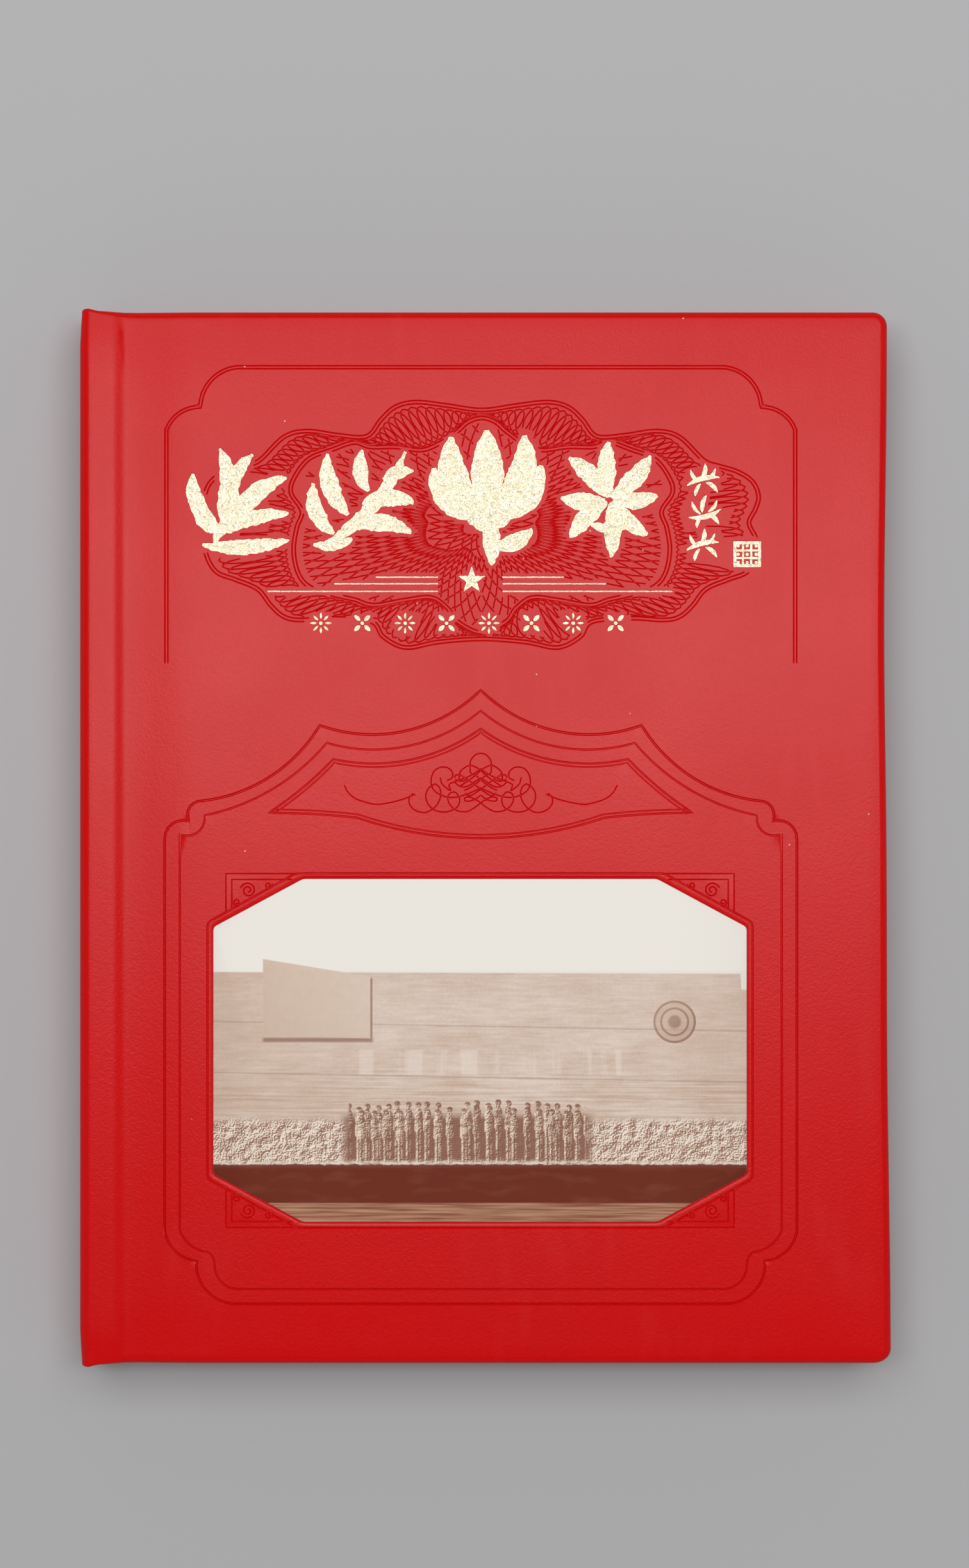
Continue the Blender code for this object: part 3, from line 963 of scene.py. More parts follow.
@dataclass
class WrappedSheet:
    """Leatherette or foam that wraps one cover: a pressed top, rounded edges, turned-in rims."""

    wrap: Wrap
    window: Rows | None = None
    lines: list[PressedLine] = field(default_factory=list)
    foil: FoilWork | None = None
    wave: float = 0.0
    edge_step: float = 6.0

    def __post_init__(self) -> None:
        """Sets up the shared stations along the outline."""
        w = self.wrap
        end = w.u_of(w.width / 2)
        self.end = end
        stations = w.u_stations()
        position = stations[-1] + self.edge_step
        while position < end - 20:
            stations.append(position)
            position += self.edge_step
        self.head = stations
        count = int((w.height - 40) / self.edge_step)
        half = w.height / 2 - 20
        self.fore = [half - 2 * half * i / count for i in range(count + 1)]

    def fore_shift(self, v: float) -> float:
        """How the fore-edge wanders from straight."""
        t = (v + self.wrap.height / 2) / self.wrap.height
        return self.wave * (1.1 * ease(1 - t / 0.35) - 0.8 * math.exp(-(((t - 0.70) / 0.16) ** 2)))

    def outline(self, inset: OfU, corner_steps: int = 8) -> Points:
        """The ring at an inset from the wrapped edge.

        Args:
            inset: a function of u.
            corner_steps: pieces in each rounded corner.

        Returns:
            (u, v) points from the spine at the head, round the fore-edge, to the spine at the tail.
        """
        w = self.wrap
        i = inset(self.end)
        radius = max(w.plan_corner - i, 0.5)
        rows = [(u, w.half_height(u) - inset(u)) for u in self.head]
        tail = []
        for k in range(corner_steps + 1):
            turn = k / corner_steps
            for corner, sign, share in ((rows, 1, 1 - turn), (tail, -1, turn)):
                angle = math.pi / 2 * share
                u = self.end - i - radius + radius * math.cos(angle)
                v = sign * (w.height / 2 - i - radius + radius * math.sin(angle))
                corner.append((u + self.fore_shift(v) * math.cos(angle), v))
        rows += [(self.end - i + self.fore_shift(v), v) for v in self.fore] + tail
        rows += [(u, -(w.half_height(u) - inset(u))) for u in reversed(self.head)]
        return rows

    def ring(self, inset: OfU, drop: OfU) -> list[Vec]:
        """A ring of album points at this inset and drop, both functions of u.

        Args:
            inset: how far in from the edge.
            drop: how far under the surface.

        Returns:
            The points.
        """
        points = []
        for u, v in self.outline(inset):
            depth = drop(min(u, self.end)) - self.wrap.crown(u, v)
            points.append(self.wrap.place(u, v, depth))
        return points

    def panel(self, inset: OfU, pressed: bool) -> "Panel":
        """The flat part of the sheet inside a ring, with or without its pressed ornament.

        Args:
            inset: how far in from the edge.
            pressed: whether it has the ornament.

        Returns:
            The panel.
        """
        panel = Panel(self, self.outline(inset))
        panel.build(pressed)
        return panel


@dataclass
class Panel:
    """A triangulated panel: its points, triangles and which points are on its outer ring."""

    sheet: WrappedSheet
    rim: Points
    points: Rows | None = None
    triangles: Rows | None = None
    ring_ids: list[int] | None = None
    hole_ids: list[int] | None = None
    seam_ids: list[int] | None = None
    heights: Rows | None = None

    def build(self, pressed: bool) -> None:
        """Triangulates the panel and works out its heights."""
        verts: list[Vector] = []
        edges: list[tuple[int, int]] = []

        def polyline(rows: Points | Rows, closed: bool) -> list[int]:
            """Adds a line to the triangulation and returns its points' numbers."""
            base = len(verts)
            verts.extend(Vector((float(a), float(b))) for a, b in rows)
            ids = list(range(base, len(verts)))
            edges.extend(zip(ids[:-1], ids[1:]))
            if closed:
                edges.append((ids[-1], ids[0]))
            return ids

        sheet, wrap = self.sheet, self.sheet.wrap
        rim_ids = polyline(self.rim, False)
        top, bottom = self.rim[0], self.rim[-1]
        seam = self.crossing(top[1], bottom[1])
        seam_ids = [rim_ids[0], *polyline([(0.0, v) for v in seam], False), rim_ids[-1]]
        edges.extend([(seam_ids[0], seam_ids[1]), (seam_ids[-2], seam_ids[-1])])
        count = len(self.rim)
        for k in range(1, len(sheet.head)):
            u, v = self.rim[k]
            end = self.rim[count - 1 - k][1]
            first, last = rim_ids[k], rim_ids[count - 1 - k]
            if u > wrap.u_of(-wrap.width / 2 + 37):
                break
            ids = polyline([(u, y) for y in self.crossing(v, end)], False)
            edges.extend([(first, ids[0]), (ids[-1], last)])
        hole_ids = []
        if sheet.window is not None:
            shift = wrap.u_of(0.0)
            hole_ids = polyline(sheet.window + [shift, 0], True)
        if pressed:
            self.press(polyline)
        self.fill(verts)
        flat, _, faces, sources, _, _ = delaunay_2d_cdt(verts, edges, [], 1, 1e-4, True)
        self.points = np.array([tuple(p) for p in flat])
        found = {}
        for i, origins in enumerate(sources):
            for origin in origins:
                found[origin] = i
        self.ring_ids = [found[i] for i in rim_ids]
        self.seam_ids = [found[i] for i in seam_ids]
        self.hole_ids = [found[i] for i in hole_ids]
        triangles = np.array([tuple(f) for f in faces])
        middle = self.points[triangles].mean(1)
        triangles = triangles[inside(middle, as_rows(self.rim))]
        if sheet.window is not None:
            middle = self.points[triangles].mean(1) - [wrap.u_of(0.0), 0]
            triangles = triangles[~inside(middle, sheet.window)]
        self.triangles = triangles
        self.heights = self.height_of(pressed)

    def crossing(self, start: float, end: float) -> list[float]:
        """v stations on a line across the sheet."""
        turns = [math.pi * k / 26 for k in range(1, 26)]
        return [start + (end - start) * (0.5 - 0.5 * math.cos(turn)) for turn in turns]

    def fill(self, verts: list[Vector]) -> None:
        """Adds loose points over the whole panel, so that the padding's swell is smooth."""
        wrap = self.sheet.wrap
        u = wrap.u_of(-wrap.width / 2 + 41)
        while u < self.sheet.end - 5:
            v = -wrap.height / 2 + 6
            while v < wrap.height / 2 - 5:
                verts.append(Vector((u + 0.11, v + 0.07)))
                v += 7.5
            u += 7.5

    def press(self, polyline: Callable[[Rows, bool], list[int]]) -> None:
        """Adds the edges of every pressed line and foil shape."""
        shift = np.array([self.sheet.wrap.u_of(0.0), 0])
        for line in self.sheet.lines:
            half, floor, _ = line.tool.value
            left = side_vectors(line.rows, line.closed)
            rows = line.rows + shift
            if line.closed:
                for offset in (half, floor, -floor, -half):
                    polyline(rows + left * offset, True)
                continue
            ahead = np.stack([left[:, 1], -left[:, 0]], 1)
            first, last = rows[0] - ahead[0] * half, rows[-1] + ahead[-1] * half
            ring = np.vstack([first, rows + left * half, last, (rows - left * half)[::-1]])
            polyline(ring, True)
            polyline(rows, False)
        if self.sheet.foil:
            for shape in self.sheet.foil.shapes:
                polyline(shape.foil + shift, True)
                polyline(shape.hollow + shift, True)
        if self.sheet.window is not None:
            ornament = PressedOrnament()
            polyline(ornament.window(0.35, 1.1) + shift, True)
            polyline(ornament.window(0.8, 1.15) + shift, True)
            polyline(ornament.window(1.05, 1.2) + shift, True)

    def height_of(self, pressed: bool) -> Rows:
        """Each point's height over the panel's plain surface."""
        heights = np.zeros(len(self.points))
        if not pressed:
            return heights
        local = self.points - [self.sheet.wrap.u_of(0.0), 0]
        for tool in Tool:
            half, floor, depth = tool.value
            samples = [dense(x.rows, x.closed) for x in self.sheet.lines if x.tool is tool]
            if not samples:
                continue
            samples = np.vstack(samples)
            tree = KDTree(len(samples))
            for i, (x, y) in enumerate(samples):
                tree.insert((x, y, 0), i)
            tree.balance()
            for i in near_box(local, samples, 1):
                away = tree.find((local[i, 0], local[i, 1], 0))[2]
                if away < half - 0.01:
                    level = -depth * min(1.0, (half - away) / (half - floor))
                    heights[i] = min(heights[i], level)
        if self.sheet.foil:
            self.sink_foil(local, heights)
        if self.sheet.window is not None:
            self.roll_window_edge(local, heights)
        return heights

    def sink_foil(self, local: Rows, heights: Rows) -> None:
        """Lowers the points in and round the foil."""
        work = self.sheet.foil
        for shape in work.shapes:
            near = near_box(local, shape.hollow, 0.05)
            if not len(near):
                continue
            rows = local[near]
            level = np.maximum(0, 1 - distance_to(rows, shape.foil) / work.wall)
            level[inside(rows, shape.foil)] = 1
            level[level > 0.96] = 1
            heights[near] = np.minimum(heights[near], -work.depth * level)

    def roll_window_edge(self, local: Rows, heights: Rows) -> None:
        """Rounds the leatherette down into the window.

        Args:
            local: the panel's points, in the album's x and y.
            heights: the points' heights, which it changes.
        """
        window = self.sheet.window
        near = near_box(local, window, 1)
        away = distance_to(local[near], window)
        roll = np.maximum(0, 1 - away / 0.8)
        heights[near] = np.minimum(heights[near], -0.38 * roll**2)

    def placed(self, drop: OfU) -> list[Vec]:
        """The panel's points in the album's frame, at this depth."""
        wrap = self.sheet.wrap
        return [
            wrap.place(u, v, drop(u) - h - wrap.crown(u, v))
            for (u, v), h in zip(self.points, self.heights)
        ]


def put(name: str, data: bpy.types.ID) -> Object:
    """A new object with this data, in the scene."""
    made = bpy.data.objects.new(name, data)
    bpy.context.scene.collection.objects.link(made)
    return made


class MeshMaker:
    """Collects points and faces and turns them into an object."""

    def __init__(self) -> None:
        """Starts empty."""
        self.points: list = []
        self.faces: list = []

    def add(self, rows: list) -> list[int]:
        """Adds points and returns their numbers."""
        base = len(self.points)
        self.points.extend(rows)
        return list(range(base, len(self.points)))

    def strip(self, a: list[int], b: list[int], closed: bool = False) -> None:
        """Faces between two rows of points of equal length."""
        count = len(a) if closed else len(a) - 1
        for i in range(count):
            j = (i + 1) % len(a)
            self.faces.append((a[i], a[j], b[j], b[i]))

    def finish(self, name: str, material: Material, angle: float = 40) -> Object:
        """The object, with faces turned outwards.

        Args:
            name: the piece's name.
            material: its material.
            angle: the angle in degrees over which an edge is sharp.

        Returns:
            The object, linked to the scene.
        """
        mesh = bpy.data.meshes.new(name)
        mesh.from_pydata(self.points, [], self.faces)
        return dress(name, mesh, material, angle)


def dress(name: str, mesh: bpy.types.Mesh, material: Material, angle: float = 40) -> Object:
    """Merges a mesh, turns its faces outwards, shades it and makes it an object.

    Args:
        name: the piece's name.
        mesh: its mesh, in the album's frame.
        material: its material.
        angle: the angle in degrees over which an edge is sharp.

    Returns:
        The object, linked to the scene.
    """
    work = bmesh.new()
    work.from_mesh(mesh)
    bmesh.ops.remove_doubles(work, verts=work.verts, dist=1e-7)
    loose = [f for f in work.faces if f.calc_area() < 1e-16]
    if loose:
        bmesh.ops.dissolve_degenerate(work, dist=1e-8, edges=work.edges)
    bmesh.ops.recalc_face_normals(work, faces=work.faces)
    work.to_mesh(mesh)
    work.free()
    mesh.materials.clear()
    mesh.materials.append(material)
    mesh.shade_smooth()
    mesh.set_sharp_from_angle(angle=math.radians(angle))
    return put(name, mesh)


# ---- shader building


class Graph:
    """Short-hand for building a node tree."""

    def __init__(self, tree: NodeTree) -> None:
        """Keeps the tree."""
        self.tree = tree

    def add(self, kind: str, values: dict | None = None, **settings: object) -> Node:
        """Adds a node.

        Args:
            kind: the node's type.
            values: numbers, colours or sockets for its inputs, by name or index.
            **settings: the node's own settings.

        Returns:
            The node.
        """
        node = self.tree.nodes.new(kind)
        for key, value in settings.items():
            setattr(node, key, value)
        for key, value in (values or {}).items():
            target = node.inputs[key]
            if isinstance(value, Socket):
                self.tree.links.new(value, target)
            else:
                target.default_value = value
        return node

    def math(self, operation: str, a: Value, b: Value = 0.0, c: Value = 0.0) -> Socket:
        """One sum, and its result."""
        values = {0: a, 1: b}
        if operation in ("MULTIPLY_ADD", "COMPARE", "SMOOTH_MIN", "SMOOTH_MAX"):
            values[2] = c
        return self.add("ShaderNodeMath", values, operation=operation).outputs[0]

    def mul(self, a: Value, b: Value) -> Socket:
        """a times b."""
        return self.math("MULTIPLY", a, b)

    def plus(self, a: Value, b: Value) -> Socket:
        """a plus b."""
        return self.math("ADD", a, b)

    def less(self, a: Value, b: Value) -> Socket:
        """a less b."""
        return self.math("SUBTRACT", a, b)

    def line(self, a: Value, b: Value, c: Value) -> Socket:
        """a times b, plus c."""
        return self.math("MULTIPLY_ADD", a, b, c)

    def most(self, a: Value, b: Value) -> Socket:
        """The larger of a and b."""
        return self.math("MAXIMUM", a, b)

    def size(self, a: Value) -> Socket:
        """a without its sign."""
        return self.math("ABSOLUTE", a)

    def parts(self, vector: Socket) -> Node:
        """A vector taken apart."""
        return self.add("ShaderNodeSeparateXYZ", {0: vector})

    def band(self, value: Value, low: Value, high: Value, soft: float = 0.1) -> Socket:
        """1 where value is between low and high, with soft edges."""
        return self.mul(self.over(value, low, soft), self.under(value, high, soft))

    def over(self, value: Value, edge: Value, soft: float = 0.1) -> Socket:
        """1 where value is over edge."""
        return self.ramp(self.less(value, edge), -soft, soft)

    def under(self, value: Value, edge: Value, soft: float = 0.1) -> Socket:
        """1 where value is under edge."""
        return self.ramp(self.less(edge, value), -soft, soft)

    def ramp(
        self, value: Value, low: float, high: float, start: float = 0.0, end: float = 1.0
    ) -> Socket:
        """value from low..high spread over start..end, with limits."""
        rows = {"Value": value, 1: low, 2: high, 3: start, 4: end}
        return self.add("ShaderNodeMapRange", rows).outputs[0]

    def mix(self, share: Value, a: Socket | Vec, b: Socket | Vec, blend: str = "MIX") -> Socket:
        """A mix of two colours.

        Args:
            share: how much of b.
            a: the first colour.
            b: the second.
            blend: the way they are mixed.

        Returns:
            The mixed colour's socket.
        """
        node = self.add("ShaderNodeMix", data_type="RGBA", blend_type=blend)
        for index, value in ((0, share), (6, a), (7, b)):
            if isinstance(value, Socket):
                self.tree.links.new(value, node.inputs[index])
            elif index:
                node.inputs[index].default_value = (*value, 1.0)
            else:
                node.inputs[index].default_value = value
        return node.outputs[2]

    def noise(
        self, vector: Socket, scale: Value, detail: float = 2.0, rough: float = 0.5
    ) -> Socket:
        """A noise between 0 and 1."""
        rows = {"Vector": vector, "Scale": scale, "Detail": detail, "Roughness": rough}
        return self.add("ShaderNodeTexNoise", rows).outputs[0]

    def scaled(
        self, vector: Socket, scale: Vec, location: Vec = (0, 0, 0), rotation: Vec = (0, 0, 0),
    ) -> Socket:
        """The vector mapped by scale, place and turn."""
        rows = {"Vector": vector, "Location": location, "Rotation": rotation, "Scale": scale}
        return self.add("ShaderNodeMapping", rows).outputs[0]

    def objects(self) -> Socket:
        """The piece's own coordinates, which are the album's."""
        return self.add("ShaderNodeTexCoord").outputs["Object"]


class Group(Graph):
    """Short-hand for a shader node group with named sockets."""

    def __init__(self, name: str, inputs: dict, outputs: list[str]) -> None:
        """Makes the group.

        Args:
            name: the group's name.
            inputs: each input's name with its default, a number or "vector".
            outputs: the names of its outputs, all of them numbers.
        """
        super().__init__(bpy.data.node_groups.new(name, "ShaderNodeTree"))
        sockets = self.tree.interface
        for label, default in inputs.items():
            kind = "NodeSocketVector" if default == "vector" else "NodeSocketFloat"
            made = sockets.new_socket(name=label, in_out="INPUT", socket_type=kind)
            if default != "vector":
                made.default_value = default
        for label in outputs:
            sockets.new_socket(name=label, in_out="OUTPUT", socket_type="NodeSocketFloat")
        self.given = self.tree.nodes.new("NodeGroupInput").outputs

    def finish(self, *results: Socket) -> NodeTree:
        """Links the results to the outputs, in order, and returns the group's tree."""
        end = self.tree.nodes.new("NodeGroupOutput")
        for result, target in zip(results, end.inputs):
            self.tree.links.new(result, target)
        return self.tree


class Effects:
    """The surface effects that several materials share, each a node group built once."""

    def __init__(self) -> None:
        """Builds every group."""
        self.grain = self.build_grain()
        self.wear = self.build_wear()
        self.dust = self.build_dust()
        self.weave = self.build_weave()

    def build_grain(self) -> NodeTree:
        """Fine pebbled grain: Height for bump, and Tone for colour."""
        g = Group("fine_grain", {"Vector": "vector", "Scale": 1500.0}, ["Height", "Tone"])
        vector, scale = g.given[:2]
        cells = g.add("ShaderNodeTexVoronoi", {"Vector": vector, "Scale": scale})
        cells.feature = "SMOOTH_F1"
        rows = {"Vector": vector, "Detail": 3.0, "Scale": g.mul(scale, 0.55)}
        fibres = g.add("ShaderNodeTexNoise", rows).outputs[0]
        height = g.line(cells.outputs["Distance"], -0.7, fibres)
        return g.finish(height, g.ramp(fibres, 0.3, 0.7))

    def build_wear(self) -> NodeTree:
        """Patchy marks of handling."""
        inputs = {"Vector": "vector", "Scale": 30.0, "Amount": 0.5}
        g = Group("handling_wear", inputs, ["Mask", "Cloud"])
        vector, scale, amount = g.given[:3]
        patches = g.noise(vector, scale, 4.0)
        streaks = g.noise(g.scaled(vector, (6, 1.2, 6), rotation=(0, 0, 0.5)), scale)
        mask = g.mul(g.ramp(g.mul(patches, streaks), 0.30, 0.45), amount)
        return g.finish(mask, g.ramp(patches, 0.3, 0.7))

    def build_dust(self) -> NodeTree:
        """Sparse bright specks."""
        g = Group("dust_specks", {"Vector": "vector", "Scale": 220.0, "Share": 0.04}, ["Mask"])
        vector, scale, share = g.given[:3]
        cells = g.add("ShaderNodeTexVoronoi", {"Vector": vector, "Scale": scale})
        small = g.math("LESS_THAN", cells.outputs["Distance"], 0.055)
        picks = g.add("ShaderNodeSeparateColor", {0: cells.outputs["Color"]})
        return g.finish(g.mul(small, g.math("LESS_THAN", picks.outputs[0], share)))

    def build_weave(self) -> NodeTree:
        """Plain weave: Height for bump, and Gap, the mask of the painted shade in the grooves
        between the threads.
        """
        g = Group("plain_weave", {"Vector": "vector", "Threads": 1400.0}, ["Height", "Gap"])
        across, along = g.parts(g.given[0]).outputs[:2]
        turns = [g.mul(g.mul(axis, g.given[1]), math.pi) for axis in (across, along)]
        warp, weft = (g.math("SINE", turn) for turn in turns)
        # Gap is 1 along the grooves between threads, where the painted shade goes.
        gap = g.ramp(g.mul(g.size(warp), g.size(weft)), 0.0, 0.3, 1.0, 0.0)
        return g.finish(g.ramp(g.mul(warp, weft), -1, 1), gap)


class Shading(Graph):
    """Short-hand for a material: its shader, and the place on the album, in metres."""

    def __init__(self, tree: NodeTree) -> None:
        """Finds the shader and the place."""
        super().__init__(tree)
        self.shader = tree.nodes["Principled BSDF"]
        self.place = self.objects()

    def feed(self, label: str, value: Value | tuple) -> None:
        """Links a socket to one of the shader's inputs, or sets the input to a constant."""
        if isinstance(value, Socket):
            self.tree.links.new(value, self.shader.inputs[label])
        else:
            self.shader.inputs[label].default_value = value

    def effect(self, tree: NodeTree, vector: Socket, **values: float) -> Node:
        """A shared effect in this material, with its own values.

        Args:
            tree: the effect's group.
            vector: the place it reads.
            **values: its inputs by name.

        Returns:
            The group's node.
        """
        node = self.add("ShaderNodeGroup", node_tree=tree)
        self.tree.links.new(vector, node.inputs["Vector"])
        for label, value in values.items():
            node.inputs[label].default_value = value
        return node

    def bump(self, height: Socket, strength: float, distance: float) -> None:
        """Feeds a height to the shader's normal."""
        rows = {"Strength": strength, "Distance": distance, "Height": height}
        self.feed("Normal", self.add("ShaderNodeBump", rows).outputs[0])


class Drawing(Shading):
    """Short-hand for what is drawn on the print, in millimetres."""

    def __init__(self, tree: NodeTree) -> None:
        """Takes the place apart."""
        super().__init__(tree)
        self.place = self.scaled(self.place, (1000, 1000, 1000))
        self.x, self.y = self.parts(self.place).outputs[:2]

    def across(self, low: float, high: float, soft: float) -> Socket:
        """1 between two x."""
        return self.band(self.x, low, high, soft)

    def along(self, low: float, high: float, soft: float) -> Socket:
        """1 between two y."""
        return self.band(self.y, low, high, soft)

    def blotch(self, scale: Vec, detail: float, rough: float = 0.5, turn: float = 0.0) -> Socket:
        """A stretched noise between 0 and 1."""
        return self.noise(self.scaled(self.place, scale, rotation=(0, 0, turn)), 1.0, detail, rough)

    def reach(self, across: Socket, along: Socket) -> Socket:
        """The length of a step across and along."""
        both = self.plus(self.math("POWER", across, 2), self.math("POWER", along, 2))
        return self.math("SQRT", both)


@dataclass(frozen=True)
class Finish:
    """A finish: the name of its material, its main colour and its roughness."""

    name: str
    colour: Vec
    roughness: float

    def material(self, effects: Effects) -> Material:
        """Builds the material."""
        made = bpy.data.materials.new(self.name)
        made.use_nodes = True
        g = self.start(made.node_tree)
        g.feed("Base Color", (*self.colour, 1.0))
        g.feed("Roughness", self.roughness)
        self.fill(g, effects)
        return made

    def start(self, tree: NodeTree) -> Shading:
        """The short-hand that this finish is built with."""
        return Shading(tree)

    def fill(self, g: Shading, effects: Effects) -> None:
        """Fills in the shader. Each finish has its own way."""


@dataclass(frozen=True)
class Leatherette(Finish):
    """Soft, matte, padded leatherette with a fine grain."""

    deep: Vec = (0.52, 0.001, 0.002)
    scuffed: Vec = (0.62, 0.015, 0.015)
    dust: Vec = (0.75, 0.55, 0.50)

    def fill(self, g: Shading, effects: Effects) -> None:
        """Fills in the shader."""
        grain = g.effect(effects.grain, g.place, Scale=1700.0)
        wear = g.effect(effects.wear, g.place, Scale=26.0, Amount=0.5)
        dust = g.effect(effects.dust, g.place, Scale=260.0, Share=0.05)
        colour = g.mix(g.mul(grain.outputs["Tone"], 0.45), self.colour, self.deep)
        colour = g.mix(g.mul(wear.outputs["Cloud"], 0.35), colour, self.deep)
        colour = g.mix(g.mul(wear.outputs["Mask"], 0.5), colour, self.scuffed)
        colour = g.mix(dust.outputs["Mask"], colour, self.dust)
        g.feed("Base Color", colour)
        rough = g.ramp(wear.outputs["Cloud"], 0, 1, self.roughness - 0.03, self.roughness + 0.05)
        g.feed("Roughness", rough)
        g.feed("Specular IOR Level", 0.07)
        g.feed("Coat Weight", 0.11)
        g.feed("Coat Roughness", 0.24)
        g.bump(grain.outputs["Height"], 0.5, 0.00009)


@dataclass(frozen=True)
class GoldFoil(Finish):
    """Pale gold foil with a fine hammered surface."""

    def fill(self, g: Shading, effects: Effects) -> None:
        """Fills in the shader."""
        hammer = g.noise(g.place, 900.0, 3.0)
        fleck = g.noise(g.place, 4200.0, 2.0)
        g.feed("Metallic", 1.0)
        tone = g.mix(g.ramp(hammer, 0.3, 0.7), self.colour, (1.0, 0.93, 0.76))
        g.feed("Base Color", tone)
        g.feed("Roughness", g.ramp(fleck, 0.3, 0.7, 0.26, 0.42))
        height = g.line(fleck, 0.25, hammer)
        g.bump(height, 0.9, 0.0007)


@dataclass(frozen=True)
class PaperFinish(Finish):
    """Paper, card or board: fibres, faint mottling and a soft bump."""

    tint: Vec = (0.8, 0.8, 0.8)
    fibre: float = 900.0
    strength: float = 0.2

    def fill(self, g: Shading, effects: Effects) -> None:
        """Fills in the shader."""
        grain = g.effect(effects.grain, g.place, Scale=self.fibre)
        wear = g.effect(effects.wear, g.place, Scale=18.0, Amount=0.6)
        colour = g.mix(g.mul(grain.outputs["Tone"], 0.5), self.colour, self.tint)
        colour = g.mix(g.mul(wear.outputs["Cloud"], 0.25), colour, self.tint)
        g.feed("Base Color", colour)
        g.bump(grain.outputs["Height"], self.strength, 0.00005)


@dataclass(frozen=True)
class ClothFinish(Finish):
    """Woven book cloth or thread, with painted shade in the grooves between the threads."""

    # tint is the darker colour of the painted shade between the threads.
    tint: Vec = (0.1, 0.1, 0.1)
    threads: float = 1800.0

    def fill(self, g: Shading, effects: Effects) -> None:
        """Fills in the shader."""
        place = g.scaled(g.place, (1, 1, 1), rotation=(0.35, 0.3, 0))
        weave = g.effect(effects.weave, place, Threads=self.threads)
        # Painted shade: the grooves between threads are mixed towards tint.
        colour = g.mix(g.mul(weave.outputs["Gap"], 0.7), self.colour, self.tint)
        g.feed("Base Color", colour)
        g.feed("Sheen Weight", 0.2)
        g.bump(weave.outputs["Height"], 0.6, 0.00012)


@dataclass(frozen=True)
class ClearFilm(Finish):
    """Clear pocket film with a faint haze and small scratches."""

    def fill(self, g: Shading, effects: Effects) -> None:
        """Fills in the shader."""
        wear = g.effect(effects.wear, g.place, Scale=14.0, Amount=0.6)
        haze = g.ramp(wear.outputs["Cloud"], 0, 1, 0.07, 0.12)
        g.feed("Alpha", haze)
        rough = g.ramp(wear.outputs["Mask"], 0, 1, self.roughness, self.roughness + 0.12)
        g.feed("Roughness", rough)
        g.feed("Specular IOR Level", 0.8)


@dataclass(frozen=True)
class Foam(Finish):
    """Open-cell foam, with painted shade in each pore."""

    def fill(self, g: Shading, effects: Effects) -> None:
        """Fills in the shader."""
        cells = g.add("ShaderNodeTexVoronoi", {"Vector": g.place, "Scale": 1300.0})
        # Painted shade: the middle of each pore is mixed towards a dark grey, while the cell walls
        # keep the foam's colour.
        tone = g.mix(g.ramp(cells.outputs["Distance"], 0.1, 0.6), (0.5, 0.48, 0.43), self.colour)
        g.feed("Base Color", tone)
        g.bump(cells.outputs["Distance"], 0.7, 0.0002)


